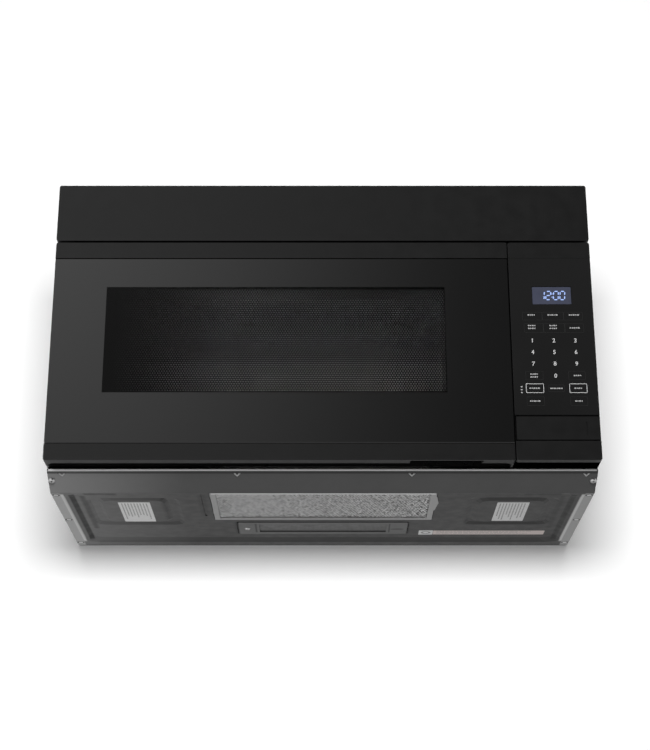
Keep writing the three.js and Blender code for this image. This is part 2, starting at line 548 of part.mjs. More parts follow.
function latchSpring() {
  const space = LATCH_BAY.z1 - LEVER.z1;
  const height = space - 2 * (CLEAR + SPRING.wire);
  const path = new Helix(SPRING.radius, height, SPRING.turns);
  const steps = SPRING.turns * SPRING.steps;
  const turn = 2 * Math.PI / SPRING.sides;
  const points = [];
  const faces = [];
  for (let i = 0; i <= steps; i++) {
    const centre = path.getPoint(i / steps);
    const out = new THREE.Vector3(centre.x, centre.y, 0).normalize();
    for (let j = 0; j < SPRING.sides; j++) {
      const side = centre.clone().addScaledVector(out, SPRING.wire * Math.cos(j * turn));
      points.push(side.x, side.y, side.z + SPRING.wire * Math.sin(j * turn));
    }
  }
  const n = SPRING.sides;
  for (let i = 0; i < steps; i++) {
    for (let j = 0; j < n; j++) {
      const [a, b] = [i * n + j, i * n + (j + 1) % n];
      faces.push(a, a + n, b, b, a + n, b + n);
    }
  }
  const last = steps * n;
  for (let j = 1; j < n - 1; j++) faces.push(0, j, j + 1, last, last + j + 1, last + j);
  const geometry = new THREE.BufferGeometry();
  geometry.setAttribute('position', new THREE.Float32BufferAttribute(points, 3));
  geometry.setIndex(faces);
  return geometry.translate(LATCH.x, (LEVER.y0 + LEVER.y1) / 2, LEVER.z1 + CLEAR + SPRING.wire);
}

function hinge(plateBottom, pinBottom, pinTop, legBottom, legTop) {
  const h = HINGE;
  const plan = new THREE.Shape();
  const back = CASE_FRONT - CLEAR;
  plan.moveTo(h.x + h.half, back);
  plan.lineTo(h.x - h.half, back);
  plan.absarc(h.x, h.y, h.half, Math.PI, 2 * Math.PI, false);
  plan.closePath();
  const plate = prism(plan, 'z', plateBottom, plateBottom + h.plate, 6);
  const leg = block(h.x - h.half, h.x + h.half, back - h.leg, back, legBottom, legTop);
  return join(plate, leg, rod('z', h.x, h.y, h.pin, pinBottom, pinTop, 10));
}

const lowerHinge = () => hinge(LOWER_HINGE.plate, LOWER_HINGE.plate, LOWER_HINGE.pinTop,
  LOWER_HINGE.plate, LOWER_HINGE.plate + HINGE.legHeight);
const upperHinge = () => hinge(UPPER_HINGE.plate, UPPER_HINGE.pinBottom, UPPER_HINGE.plate + HINGE.plate,
  UPPER_HINGE.plate - HINGE.legHeight, UPPER_HINGE.plate + HINGE.plate);

// ---- control panel ----
const KEYPAD = { z0: 64, z1: DOOR_TOP - TOP_STRIP, thick: 0.6, bed: 2.2 };
const ACCESS = { z0: 27.6, z1: 63.4, thick: 3, slitX: RIGHT - 18.5, slitZ: [35.6, 53.8], slit: 1.2 };
const DISPLAY = { x0: RIGHT - 84.5, x1: RIGHT - 30, z0: DOOR_TOP - 94.5, z1: DOOR_TOP - 68.3, thick: 2 };
const BOARD = { x0: PANEL_LEFT + 6.8, x1: RIGHT - 7.5, z0: 70, z1: DOOR_TOP - 22, front: 24, thick: 1.6 };
// What stands on the board: its place from the board's lower left corner, then width, height and depth.
const RELAY = { x: 10, z: 14, w: 19, h: 15, d: 15, pitch: 26, count: 3 };
const SUPPLY = { x: 22, z: 50, w: 42, h: 36, d: 14 };
const CHIP = { x: 36, z: 120, w: 26, h: 18, d: 2.5 };
const PLUG = { x: 70, z: 50, w: 9, h: 44, d: 9 };
const CAN = { x: 14, z: 102, radius: 5, d: 12, pitch: 16, count: 3 };
const BOSS = { radius: 3.5, inset: 6 };

function controlBezel() {
  const depth = CASE_FRONT - CLEAR;
  let bezel = frontMoulding(PANEL_LEFT, RIGHT, 0, DOOR_TOP, depth, PLASTIC);
  const bed = block(PANEL_LEFT - 1, RIGHT + 1, -1, KEYPAD.thick + CLEAR, KEYPAD.z0, KEYPAD.z1);
  const accessBay = block(PANEL_LEFT - 1, RIGHT + 1, -1, ACCESS.thick - 1,
    ACCESS.z0 - CLEAR, ACCESS.z1 + CLEAR);
  const behind = block(PANEL_LEFT + PLASTIC, RIGHT - PLASTIC, KEYPAD.bed, PLASTIC + 1.5,
    ACCESS.z0 - 4, KEYPAD.z1 + 3);
  bezel = cut(join(bezel, behind), bed, accessBay);
  const lens = block(DISPLAY.x0 - 1, DISPLAY.x1 + 1, -1, PLASTIC + 3, DISPLAY.z0 - 1, DISPLAY.z1 + 1);
  const bosses = [];
  for (const x of [BOARD.x0 + BOSS.inset, BOARD.x1 - BOSS.inset]) {
    for (const z of [BOARD.z0 + BOSS.inset, BOARD.z1 - BOSS.inset]) {
      bosses.push(rod('y', x, z, BOSS.radius, PLASTIC, BOARD.front - CLEAR, 8));
    }
  }
  return cut(join(bezel, ...bosses), lens);
}

function keypadOverlay() {
  const sheet = roundedRect(PANEL_LEFT + CLEAR, RIGHT - CLEAR, KEYPAD.z0 + CLEAR, KEYPAD.z1 - CLEAR, 0.8);
  const gap = 0.6;
  sheet.holes.push(roundedRect(DISPLAY.x0 - gap, DISPLAY.x1 + gap, DISPLAY.z0 - gap, DISPLAY.z1 + gap, 1));
  return prism(sheet, 'y', 0, KEYPAD.thick, 2);
}

function displayLens() {
  return plateWithEase(DISPLAY.x0, DISPLAY.x1, DISPLAY.z0, DISPLAY.z1, 0.1, DISPLAY.thick, 0.3);
}

function accessStrip() {
  const sheet = roundedRect(PANEL_LEFT + CLEAR, RIGHT - CLEAR, ACCESS.z0, ACCESS.z1, 0.8);
  const [slitLeft, slitRight] = [ACCESS.slitX - ACCESS.slit / 2, ACCESS.slitX + ACCESS.slit / 2];
  sheet.holes.push(roundedRect(slitLeft, slitRight, ...ACCESS.slitZ, 0.5));
  return prism(sheet, 'y', 0, ACCESS.thick - 1 - CLEAR, 2);
}

function controlBoard() {
  const back = BOARD.front + BOARD.thick;
  const board = block(BOARD.x0, BOARD.x1, BOARD.front, back, BOARD.z0, BOARD.z1);
  const component = ({ x, z, w, h, d }, shift = 0) => block(BOARD.x0 + x + shift, BOARD.x0 + x + shift + w,
    back - 0.2, back + d, BOARD.z0 + z, BOARD.z0 + z + h);
  const parts = [component(SUPPLY), component(CHIP), component(PLUG)];
  for (let i = 0; i < RELAY.count; i++) parts.push(component(RELAY, i * RELAY.pitch));
  for (let i = 0; i < CAN.count; i++) {
    const z = BOARD.z0 + CAN.z + i * CAN.pitch;
    parts.push(rod('y', BOARD.x0 + CAN.x, z, CAN.radius, back - 0.2, back + CAN.d, 8));
  }
  return join(board, ...parts);
}

function displayModule() {
  const y0 = DISPLAY.thick + 2;
  return block(DISPLAY.x0 - 3, DISPLAY.x1 + 3, y0 + 2, BOARD.front - CLEAR, DISPLAY.z0 - 3, DISPLAY.z1 + 3);
}

// ---- turntable ----
const ROLLER = { count: 3, radius: 8, width: 7, track: 95, bore: 2.2, pin: 1.9 };
const RING = { inner: 80, outer: 88, low: 4, high: 10 };
const TRAY = { radius: 148, thick: 5, rim: 14, hub: 26, seat: 3 };
const COUPLER = { radius: 14, lobe: 22, width: 9 };
const MOTOR = { radius: 24, height: 15, edge: 1.5, ear: 35 };
const ROLLER_TOP = CAVITY.floor + CLEAR + 2 * ROLLER.radius;
const TRAY_BOTTOM = ROLLER_TOP + CLEAR;
const SHAFT_RADIUS = 3.4;

function revolve(profile, segments) {
  const geometry = new THREE.LatheGeometry(profile.map(([r, z]) => new THREE.Vector2(r, z)), segments);
  return solid(geometry.rotateX(Math.PI / 2));
}

function glassTray() {
  const t = TRAY;
  const z = TRAY_BOTTOM;
  const disc = revolve([
    [0, z], [t.radius - 14, z], [t.radius - 3, z + 4], [t.radius, z + t.rim], [t.radius - 4, z + t.rim],
    [t.radius - 7, z + 8], [t.radius - 16, z + t.thick], [0, z + t.thick],
  ], 28);
  const hub = revolve([[t.hub, z - t.seat], [t.hub + 4, z - t.seat], [t.hub + 4, z + 1], [t.hub, z + 1],
    [t.hub, z - t.seat]], 14);
  return join(disc, hub).translate(TABLE.x, TABLE.y, 0);
}

function driveCoupler() {
  const c = COUPLER;
  const top = TRAY_BOTTOM - CLEAR;
  const lobes = [0, 1, 2].map((i) => block(0, c.lobe, -c.width / 2, c.width / 2, top - 7, top)
    .rotate(0, 0, i * 120));
  const body = revolve([[0, top - 9], [c.radius, top - 9], [c.radius, top - 2], [0, top - 2]], 20);
  const stem = revolve([[0, CAVITY.floor - 8], [SHAFT_RADIUS + 2.5, CAVITY.floor - 8],
    [SHAFT_RADIUS + 2.5, top - 8], [0, top - 8]], 12);
  return join(body, stem, ...lobes).translate(TABLE.x, TABLE.y, 0);
}

function turntableMotor() {
  const m = MOTOR;
  const top = CAVITY.floor - CAVITY_WALL - CLEAR;
  const base = top - m.height;
  const can = revolve([[0, base], [m.radius - m.edge, base], [m.radius, base + m.edge],
    [m.radius, top - 1], [0, top - 1]], 24);
  const ears = block(-m.ear, m.ear, -6, 6, top - 1.8, top);
  const plug = block(-7, 7, -m.radius - 9, -m.radius + 2, top - 12, top - 3);
  const bore = revolve([[0, CAVITY.floor - 8 - CLEAR], [SHAFT_RADIUS + 3, CAVITY.floor - 8 - CLEAR],
    [SHAFT_RADIUS + 3, top + 1], [0, top + 1]], 12);
  return cut(join(can, ears, plug), bore).translate(TABLE.x, TABLE.y, 0);
}

function rollerRing() {
  const z = CAVITY.floor;
  const ring = revolve([[RING.inner, z + RING.low], [RING.outer, z + RING.low], [RING.outer, z + RING.high],
    [RING.inner, z + RING.high], [RING.inner, z + RING.low]], 24);
  const axle = CAVITY.floor + CLEAR + ROLLER.radius;
  const half = ROLLER.width / 2 + CLEAR;
  let whole = ring;
  for (let i = 0; i < ROLLER.count; i++) {
    const pin = rod('x', 0, axle, ROLLER.pin, RING.outer - 4, ROLLER.track + half + 3, 8);
    const arm = block(RING.outer - 6, RING.outer, -5, 5, z + RING.low, axle + 3);
    whole = join(whole, join(pin, arm).rotate(0, 0, i * 360 / ROLLER.count));
  }
  return whole.translate(TABLE.x, TABLE.y, 0);
}

// One roller, on the radius that its pin follows.
function roller(index) {
  const axle = CAVITY.floor + CLEAR + ROLLER.radius;
  const half = ROLLER.width / 2;
  const wheel = tube('x', 0, axle, ROLLER.radius, ROLLER.bore, ROLLER.track - half, ROLLER.track + half, 12);
  return wheel.rotate(0, 0, index * 360 / ROLLER.count).translate(TABLE.x, TABLE.y, 0);
}

// ---- microwave generator, behind the control panel ----
const BAY_FLOOR = {
  x0: CAVITY.right + CAVITY_WALL + CLEAR, x1: CASE_HALF - SHEET - CLEAR, z: 16, thick: 1.2,
};
const WAVEGUIDE = {
  width: 32, wall: 1.2, lap: 9,
  y0: ANTENNA_PORT.y0 - 10, y1: ANTENNA_PORT.y1 + 17, z0: ANTENNA_PORT.z0 - 10, z1: ANTENNA_PORT.z1 + 46,
};
const MAGNETRON = {
  y: ANTENNA_PORT.y0 + 43, z: ANTENNA_PORT.z0 + 48, w: 78, d: 92, h: 62, yoke: 2, fins: 5, fin: 1,
  antenna: 9, antennaReach: 22, anode: 20, box: [56, 52, 24],
};
const BAY_FLOOR_TOP = BAY_FLOOR.z + BAY_FLOOR.thick + CLEAR;
const TRANSFORMER = {
  x: CAVITY.right + 21, y: 170, z: BAY_FLOOR_TOP, w: 88, d: 74, h: 74, limb: 15, coilOut: 16,
  coils: [[12, 33], [38, 60]],
};
const CAPACITOR = { x: CASE_HALF - 27, y: 120, half: 14, depth: 26, tall: 86, tab: 9, tabPitch: 20 };
const STRAP = { thick: 1, z0: 20, z1: 32, half: 8, foot: 12 };
const GUIDE_X0 = CAVITY.right + CAVITY_WALL + CLEAR;
const GUIDE_X1 = GUIDE_X0 + WAVEGUIDE.width;

function bayFloor() {
  const b = BAY_FLOOR;
  const line = [[b.x0, b.z + 12], [b.x0, b.z], [b.x1, b.z], [b.x1, b.z + 12]];
  return prism(bentSheet(line, b.thick), 'y', 60, DEPTH - 30);
}

function waveguide() {
  const g = WAVEGUIDE;
  const flange = block(GUIDE_X0, GUIDE_X0 + g.wall, g.y0 - g.lap, g.y1 + g.lap, g.z0 - g.lap, g.z1 + g.lap);
  const channel = block(GUIDE_X0, GUIDE_X1, g.y0, g.y1, g.z0, g.z1);
  const inside = block(GUIDE_X0 - 1, GUIDE_X1 - g.wall, g.y0 + g.wall, g.y1 - g.wall,
    g.z0 + g.wall, g.z1 - g.wall);
  const port = rod('x', MAGNETRON.y, MAGNETRON.z, MAGNETRON.antenna + 5, GUIDE_X1 - 5, GUIDE_X1 + 5, 14);
  return cut(join(flange, channel), inside, port);
}

function waveguideCover() {
  const p = ANTENNA_PORT;
  const lap = 8;
  const x = CAVITY.right - CLEAR;
  return prism(roundedRect(p.y0 - lap, p.y1 + lap, p.z0 - lap, p.z1 + lap, 5), 'x', x - 0.8, x, 2);
}

function magnetron() {
  const m = MAGNETRON;
  const x0 = GUIDE_X1 + CLEAR;
  const [y0, y1] = [m.y - m.d / 2, m.y + m.d / 2];
  const [z0, z1] = [m.z - m.w / 2, m.z + m.w / 2];
  const t = m.yoke;
  const yoke = cut(block(x0, x0 + m.h, y0, y1, z0, z1),
    block(x0 + t, x0 + m.h - t, y0 - 1, y1 + 1, z0 + t, z1 - t));
  const antenna = rod('x', m.y, m.z, m.antenna, x0 - m.antennaReach, x0 + 3, 14);
  const anode = rod('x', m.y, m.z, m.anode, x0 + 1, x0 + m.h - 1, 12);
  const fins = [];
  for (let i = 0; i < m.fins; i++) {
    const x = x0 + 8 + i * (m.h - 18) / (m.fins - 1);
    fins.push(block(x, x + m.fin, y0 + 4, y1 - 4, z0 + 1, z1 - 1));
  }
  const [boxDepth, boxWidth, boxReach] = m.box;
  const filterBox = block(x0 + m.h - 1, x0 + m.h + boxReach, m.y - boxDepth / 2, m.y + boxDepth / 2,
    m.z - boxWidth / 2, m.z + boxWidth / 2);
  return join(yoke, antenna, anode, filterBox, ...fins);
}

function transformer() {
  const t = TRANSFORMER;
  const core = block(t.x, t.x + t.w, t.y, t.y + t.d, t.z, t.z + t.h);
  const window = block(t.x + t.limb, t.x + t.w - t.limb, t.y - 1, t.y + t.d + 1, t.z + 15, t.z + 30);
  const coils = t.coils.map(([from, to]) => block(
    t.x + t.limb - 1, t.x + t.w - t.limb + 1, t.y - t.coilOut, t.y + t.d + t.coilOut, t.z + from, t.z + to));
  const foot = block(t.x - 6, t.x + t.w + 6, t.y + 4, t.y + t.d - 4, t.z, t.z + 2);
  return cut(join(cut(core, window), foot, ...coils),
    rod('z', t.x - 3, t.y + 12, 1.6, t.z - 1, t.z + 4, 8));
}

function capacitor() {
  const c = CAPACITOR;
  const z = BAY_FLOOR_TOP;
  const oval = roundedRect(c.x - c.half, c.x + c.half, c.y - c.depth, c.y + c.depth, c.half - 0.2);
  const can = prism(oval, 'z', z, z + c.tall, 5);
  const tab = (y) => block(c.x - 3, c.x + 3, y - 0.4, y + 0.4, z + c.tall - 0.5, z + c.tall + c.tab);
  return join(can, tab(c.y - c.tabPitch / 2), tab(c.y + c.tabPitch / 2));
}

function capacitorStrap() {
  const c = CAPACITOR;
  const s = STRAP;
  const z = BAY_FLOOR_TOP;
  const [w, d] = [c.half + CLEAR, c.depth + CLEAR];
  const t = s.thick;
  const loop = roundedRect(c.x - w - t, c.x + w + t, c.y - d - t, c.y + d + t, c.half);
  loop.holes.push(roundedRect(c.x - w, c.x + w, c.y - d, c.y + d, c.half - 0.2));
  const band = prism(loop, 'z', z + s.z0, z + s.z1, 5);
  const foot = block(c.x - s.half, c.x + s.half, c.y - c.depth - s.foot, c.y - d - 0.5, z, z + t);
  const riser = block(c.x - s.half, c.x + s.half, c.y - d - 2, c.y - d - 0.4, z, z + s.z0 + 5);
  return join(band, foot, riser);
}

function highVoltageDiode() {
  const x = CAPACITOR.x - 3;
  const y = CAPACITOR.y + 42;
  const z = BAY_FLOOR_TOP;
  const barrel = rod('y', x, z + 4, 4, y - 12, y + 12, 8);
  const lug = block(x - 5, x + 5, y + 10, y + 22, z, z + 1.5);
  const lead = block(x - 1.5, x + 1.5, y + 8, y + 13, z, z + 5);
  return join(barrel, lug, lead);
}

// ---- generator cooling fan ----
const FAN = {
  x: (CAVITY.right + CASE_HALF) / 2, y: DEPTH - 50, z: 165, radius: 55, hub: 13, blades: 5, width: 17,
  shaft: 3, bore: 3.5,
};
const SHROUD = { half: 66, depth: 22, wall: 2, gap: 4, left: 10, right: 8, rise: 8 };
const FAN_MOTOR = { half: 26, y0: FAN.y + 14, y1: FAN.y + 36, coil: 14, bearing: 11, strap: 9 };

// One blade: a ribbon from the hub to the tip that is pitched steeply at the hub and flat at the tip.
function fanBlade() {
  const rings = 5;
  const points = [];
  const faces = [];
  const thick = 0.8;
  for (let i = 0; i <= rings; i++) {
    const t = i / rings;
    const r = FAN.hub - 2 + t * (FAN.radius - FAN.hub + 2);
    const chord = 13 + 13 * t;
    const pitch = THREE.MathUtils.degToRad(48 - 22 * t);
    const along = new THREE.Vector3(Math.cos(pitch), Math.sin(pitch), 0);
    const normal = new THREE.Vector3(-Math.sin(pitch), Math.cos(pitch), 0);
    for (const [u, v] of [[-1, -1], [1, -1], [1, 1], [-1, 1]]) {
      const p = along.clone().multiplyScalar(u * chord / 2).addScaledVector(normal, v * thick);
      points.push(p.x, p.y, r);
    }
  }
  for (let i = 0; i < rings; i++) {
    for (let j = 0; j < 4; j++) {
      const [a, b] = [i * 4 + j, i * 4 + (j + 1) % 4];
      faces.push(a, b, a + 4, b, b + 4, a + 4);
    }
  }
  const last = rings * 4;
  faces.push(0, 2, 1, 0, 3, 2, last, last + 1, last + 2, last, last + 2, last + 3);
  const geometry = new THREE.BufferGeometry();
  geometry.setAttribute('position', new THREE.Float32BufferAttribute(points, 3));
  geometry.setIndex(faces);
  return solid(geometry);
}

function fanRotor() {
  const half = FAN.width / 2;
  const hub = rod('y', 0, 0, FAN.hub, -half, half, 16);
  const shaft = rod('y', 0, 0, FAN.shaft, 0, FAN_MOTOR.y0 + 12 - FAN.y, 10);
  const blades = [];
  for (let i = 0; i < FAN.blades; i++) blades.push(fanBlade().rotate(0, i * 360 / FAN.blades, 0));
  return join(hub, shaft, ...blades).translate(FAN.x, FAN.y, FAN.z);
}

function fanShroud() {
  const s = SHROUD;
  const y0 = FAN.y - s.depth / 2;
  const y1 = FAN.y + s.depth / 2;
  const tall = s.half + s.rise;
  const sheet = roundedRect(FAN.x - s.half - s.left, FAN.x + s.half + s.right, FAN.z - tall, FAN.z + tall, 5);
  const plate = prism(sheet, 'y', y0, y0 + s.wall, 2);
  const collar = rod('y', FAN.x, FAN.z, FAN.radius + s.gap + s.wall, y0, y1, 24);
  const through = rod('y', FAN.x, FAN.z, FAN.radius + s.gap, y0 - 1, y1 + 1, 24);
  const back = DEPTH - BACK_SHEET - CLEAR;
  const posts = [];
  for (const x of [FAN.x - s.half - 2, FAN.x + s.half]) {
    for (const z of [FAN.z - s.half, FAN.z + s.half]) {
      posts.push(block(x - 4, x + 4, y0, back, z - 4, z + 4));
    }
  }
  return cut(join(plate, collar, ...posts), through);
}

function fanMotor() {
  const m = FAN_MOTOR;
  const h = m.half;
  const core = block(FAN.x - h, FAN.x + h, m.y0 + 5, m.y1 - 4, FAN.z - h, FAN.z + h + 18);
  const coil = block(FAN.x - m.coil, FAN.x + m.coil, m.y0, m.y1 + 1, FAN.z + h - 4, FAN.z + h + 22);
  const bearing = rod('y', FAN.x, FAN.z, m.bearing, m.y0, m.y1, 14);
  const strap = block(FAN.x - SHROUD.half - 6, FAN.x + SHROUD.half + 4, m.y1 - 4.5, m.y1 - 2.5,
    FAN.z - m.strap, FAN.z + m.strap);
  const back = DEPTH - BACK_SHEET - CLEAR;
  const stand = [FAN.x - SHROUD.half + 6, FAN.x + SHROUD.half - 8].map((x) => block(
    x - 5, x + 5, m.y1 - 4, back, FAN.z - 6, FAN.z + 6));
  const bore = rod('y', FAN.x, FAN.z, FAN.bore, m.y0 - 1, m.y0 + 12 + CLEAR, 10);
  return cut(join(core, coil, bearing, strap, ...stand), bore);
}

// ---- door interlock, behind the casing front ----
const LATCH_BOARD = { x0: LATCH.x - 19, x1: LATCH.x + 23, z0: 62, z1: DOOR_TOP - 40, depth: 30, wall: 2.5 };
const SWITCH = { w: 10.5, h: 16, d: 28, z: [120, 145, 200], tags: [4, 12, 20] };

function latchBoard() {
  const b = LATCH_BOARD;
  const y0 = CASE_FRONT + CAVITY_WALL + CLEAR;
  const plate = block(b.x0, b.x1, y0, y0 + b.wall, b.z0, b.z1);
  const wall = block(b.x0, b.x0 + b.wall, y0, y0 + b.depth, b.z0, b.z1);
  const shelf = (z) => block(b.x0, b.x1 - 4, y0, y0 + b.depth, z, z + b.wall);
  const halfSlot = LATCH.slotHeight / 2;
  const guides = LATCH.hooks.flatMap((z) => [shelf(z - halfSlot - 3), shelf(z + halfSlot + 1)]);
  const windows = LATCH.hooks.map((z) => block(LATCH.x - LATCH.slotWidth / 2, LATCH.x + LATCH.slotWidth / 2,
    y0 - 1, y0 + b.wall + 1, z - LATCH.slotHeight / 2, z + LATCH.slotHeight / 2));
  return cut(join(plate, wall, ...guides), ...windows);
}

function interlockSwitch(index) {
  const y0 = CASE_FRONT + CAVITY_WALL + 2 * CLEAR + LATCH_BOARD.wall;
  const z = SWITCH.z[index];
  const x = LATCH_BOARD.x0 + LATCH_BOARD.wall + CLEAR;
  const body = block(x, x + SWITCH.w, y0, y0 + SWITCH.d, z, z + SWITCH.h);
  const top = z + SWITCH.h;
  const tags = SWITCH.tags.map((d) => block(x + 4, x + 7, y0 + d, y0 + d + 4, top - 0.3, top + 5));
  return join(body, ...tags);
}

// ---- lamps ----
const OVEN_LAMP = { bulb: 7 };

function cavityLamp() {
  const x = CAVITY.right + CAVITY_WALL + CLEAR;
  const base = block(x, x + 2, LAMP_PORT.y - 20, LAMP_PORT.y + 20, LAMP_PORT.z - 16, LAMP_PORT.z + 16);
  const hole = rod('x', LAMP_PORT.y, LAMP_PORT.z, OVEN_LAMP.bulb + 1, x - 1, x + 3, 10);
  const hood = tube('x', LAMP_PORT.y, LAMP_PORT.z, OVEN_LAMP.bulb + 4, OVEN_LAMP.bulb + 1, x + 1, x + 14, 10);
  const socket = rod('x', LAMP_PORT.y, LAMP_PORT.z, OVEN_LAMP.bulb + 4, x + 13, x + 30, 10);
  const bulb = rod('x', LAMP_PORT.y, LAMP_PORT.z, OVEN_LAMP.bulb - 2, x + 2, x + 14, 10);
  return join(cut(base, hole), hood, socket, bulb);
}

// ---- hood blower, above the cavity ----
const AXIS = { y: DEPTH - 84, z: FRONT_HEIGHT - 62 };
const SCROLL = {
  start: 50, growth: 7.5, cutoff: 140, x0: 50, x1: 160, wall: 1.5, mouth: AXIS.y - 70, inlet: 36, steps: 14,
};
const WHEEL = { radius: 46, root: 38, blades: 16, x0: 58, x1: 148, plate: 1.5, ring: 3, hub: 11 };
const BLOWER_SHAFT = { radius: 4, bore: 4.3, reach: 150 };
const BLOWER_MOTOR = { radius: 36, half: 40 };
const DECK = { z: CAVITY.roof + CAVITY_WALL + CLEAR, thick: 1.5, y0: AXIS.y - 60, y1: AXIS.y + 60 };

// The scroll seen along the shaft, drawn in by offset. It widens from the cut-off round to the mouth.
function scrollOutline(offset, mouth) {
  const points = [];
  const sweep = 450 - SCROLL.cutoff;
  for (let i = 0; i <= SCROLL.steps; i++) {
    const angle = THREE.MathUtils.degToRad(SCROLL.cutoff + sweep * i / SCROLL.steps);
    const r = SCROLL.start + SCROLL.growth * i / SCROLL.steps - offset;
    points.push([AXIS.y + r * Math.cos(angle), AXIS.z + r * Math.sin(angle)]);
  }
  const roof = points[SCROLL.steps][1];
  const lip = points[0][1] + offset;
  return outline([...points, [mouth, roof], [mouth, lip]]);
}

function blowerHousing() {
  const s = SCROLL;
  const halves = [-1, 1].map((side) => {
    const [a, b] = side > 0 ? [s.x0, s.x1] : [-s.x1, -s.x0];
    const foot = block(a, b, AXIS.y - 16, AXIS.y + 16, DECK.z, AXIS.z - s.start);
    const outer = join(prism(scrollOutline(0, s.mouth), 'x', a, b), foot);
    const inner = prism(scrollOutline(s.wall, s.mouth - 5), 'x', a + s.wall, b - s.wall);
    const inlet = rod('x', AXIS.y, AXIS.z, s.inlet, a - 1, b + 1, 24);
    return cut(outer, inner, inlet);
  });
  const deck = block(-s.x1, s.x1, DECK.y0, DECK.y1, DECK.z, DECK.z + DECK.thick);
  const cradle = [-1, 1].map((side) => block(
    side * 28 - 4, side * 28 + 4, AXIS.y - 18, AXIS.y + 18, DECK.z, AXIS.z - BLOWER_MOTOR.radius + 6));
  const seat = rod('x', AXIS.y, AXIS.z, BLOWER_MOTOR.radius + CLEAR, -45, 45, 24);
  return join(cut(join(deck, ...cradle), seat), ...halves);
}

// One forward-curved blade, seen along the shaft, between the root and the rim of the wheel.
function wheelBlade() {
  const stations = [0, 0.5, 1];
  const thick = 0.9;
  const at = (t, side) => {
    const r = WHEEL.root + t * (WHEEL.radius - 0.4 - WHEEL.root);
    const lean = THREE.MathUtils.degToRad(12 * t * t) + side * thick / 2 / r;
    return [r * Math.cos(lean), r * Math.sin(lean)];
  };
  return outline([...stations.map((t) => at(t, -1)), ...stations.reverse().map((t) => at(t, 1))]);
}

function blowerWheel(side) {
  const w = WHEEL;
  const half = (w.x1 - w.x0) / 2;
  const middle = (w.x1 + w.x0) / 2;
  const blades = [];
  for (let i = 0; i < w.blades; i++) {
    blades.push(prism(wheelBlade(), 'x', -half, half).rotate(i * 360 / w.blades, 0, 0));
  }
  const plate = rod('x', 0, 0, w.radius, -half, -half + w.plate, 18);
  const ring = tube('x', 0, 0, w.radius, w.root + 2, half - w.ring, half, 18);
  const hub = rod('x', 0, 0, w.hub, -half, -half + 26, 12);
  const bore = rod('x', 0, 0, BLOWER_SHAFT.bore, -half - 1, half, 10);
  const wheel = cut(join(plate, hub, ring, ...blades), bore);
  const turned = side > 0 ? wheel : wheel.mirror([1, 0, 0]);
  return turned.translate(side * middle, AXIS.y, AXIS.z);
}

function blowerMotor() {
  const m = BLOWER_MOTOR;
  const can = rod('x', AXIS.y, AXIS.z, m.radius, -m.half + 8, m.half - 8, 18);
  const caps = rod('x', AXIS.y, AXIS.z, m.radius - 9, -m.half, m.half, 14);
  return cut(join(can, caps), rod('x', AXIS.y, AXIS.z, BLOWER_SHAFT.bore, -m.half - 1, m.half + 1, 12));
}

function blowerShaft() {
  const s = BLOWER_SHAFT;
  return rod('x', AXIS.y, AXIS.z, s.radius, -s.reach, s.reach, 12);
}

const CHARCOAL = {
  half: 150, z0: FLANGE_PLATE.top + CLEAR, tall: 78, y: 42, thick: 12, rim: 6, cols: 8, rows: 2,
};

function charcoalFilter() {
  const c = CHARCOAL;
  const shape = roundedRect(-c.half, c.half, c.z0, c.z0 + c.tall, 3);
  const cell = [(2 * c.half - 2 * c.rim) / c.cols, (c.tall - 2 * c.rim) / c.rows];
  for (let i = 0; i < c.cols; i++) {
    for (let j = 0; j < c.rows; j++) {
      const [x, z] = [-c.half + c.rim + (i + 0.5) * cell[0], c.z0 + c.rim + (j + 0.5) * cell[1]];
      const [w, h] = [cell[0] / 2 - 1.2, cell[1] / 2 - 1.2];
      const hole = new THREE.Path();
      hole.moveTo(x - w, z).lineTo(x - w / 2, z - h).lineTo(x + w / 2, z - h).lineTo(x + w, z);
      hole.lineTo(x + w / 2, z + h).lineTo(x - w / 2, z + h).closePath();
      shape.holes.push(hole);
    }
  }
  return prism(shape, 'y', c.y, c.y + c.thick, 2);
}

// ---- hood underside ----
const TAB = { reach: 6, thick: 1.5, width: 14 };
const SHEET_TOP = PAN_FLOOR + SHEET;

function hangers(edgeX, direction, ys) {
  return ys.map((y) => {
    const inner = edgeX - direction * 1.5;
    const outer = edgeX + direction * TAB.reach;
    return block(Math.min(inner, outer), Math.max(inner, outer), y - TAB.width / 2, y + TAB.width / 2,
      SHEET_TOP + CLEAR, SHEET_TOP + CLEAR + TAB.thick);
  });
}

const PULL = { y0: 104, peak: 142, y1: 187, reach: 5 };

function greaseFrame() {
  const f = FILTER;
  const p = PULL;
  const z0 = PAN_FLOOR - 1.5;
  const body = prism(roundedRect(f.x0, f.x1, f.y0, f.y1, 2), 'z', z0, z0 + f.thick, 2);
  const through = block(f.x0 + f.rim, f.x1 - f.rim, f.y0 + f.rim, f.y1 - f.rim, z0 - 1, z0 + f.thick + 1);
  const groove = block(f.x0 + 2, f.x1 - 2, f.y0 + 2, f.y1 - 2, z0 + 2, z0 + f.thick - 2);
  const pull = prism(outline([
    [f.x1 - 3, p.y0], [f.x1 + 1.5, p.y0 + 8], [f.x1 + p.reach - 1, p.peak - 6], [f.x1 + p.reach, p.peak],
    [f.x1 + p.reach - 1, p.peak + 8], [f.x1 + 1.5, p.y1 - 7], [f.x1 - 3, p.y1],
  ]), 'z', z0, PAN_FLOOR - CLEAR);
  return join(cut(body, through, groove), pull, ...hangers(f.x0, -1, [f.y0 + 30, f.y1 - 30]));
}

const LATTICE = { cols: 10, rows: 4, strand: 1.7 };

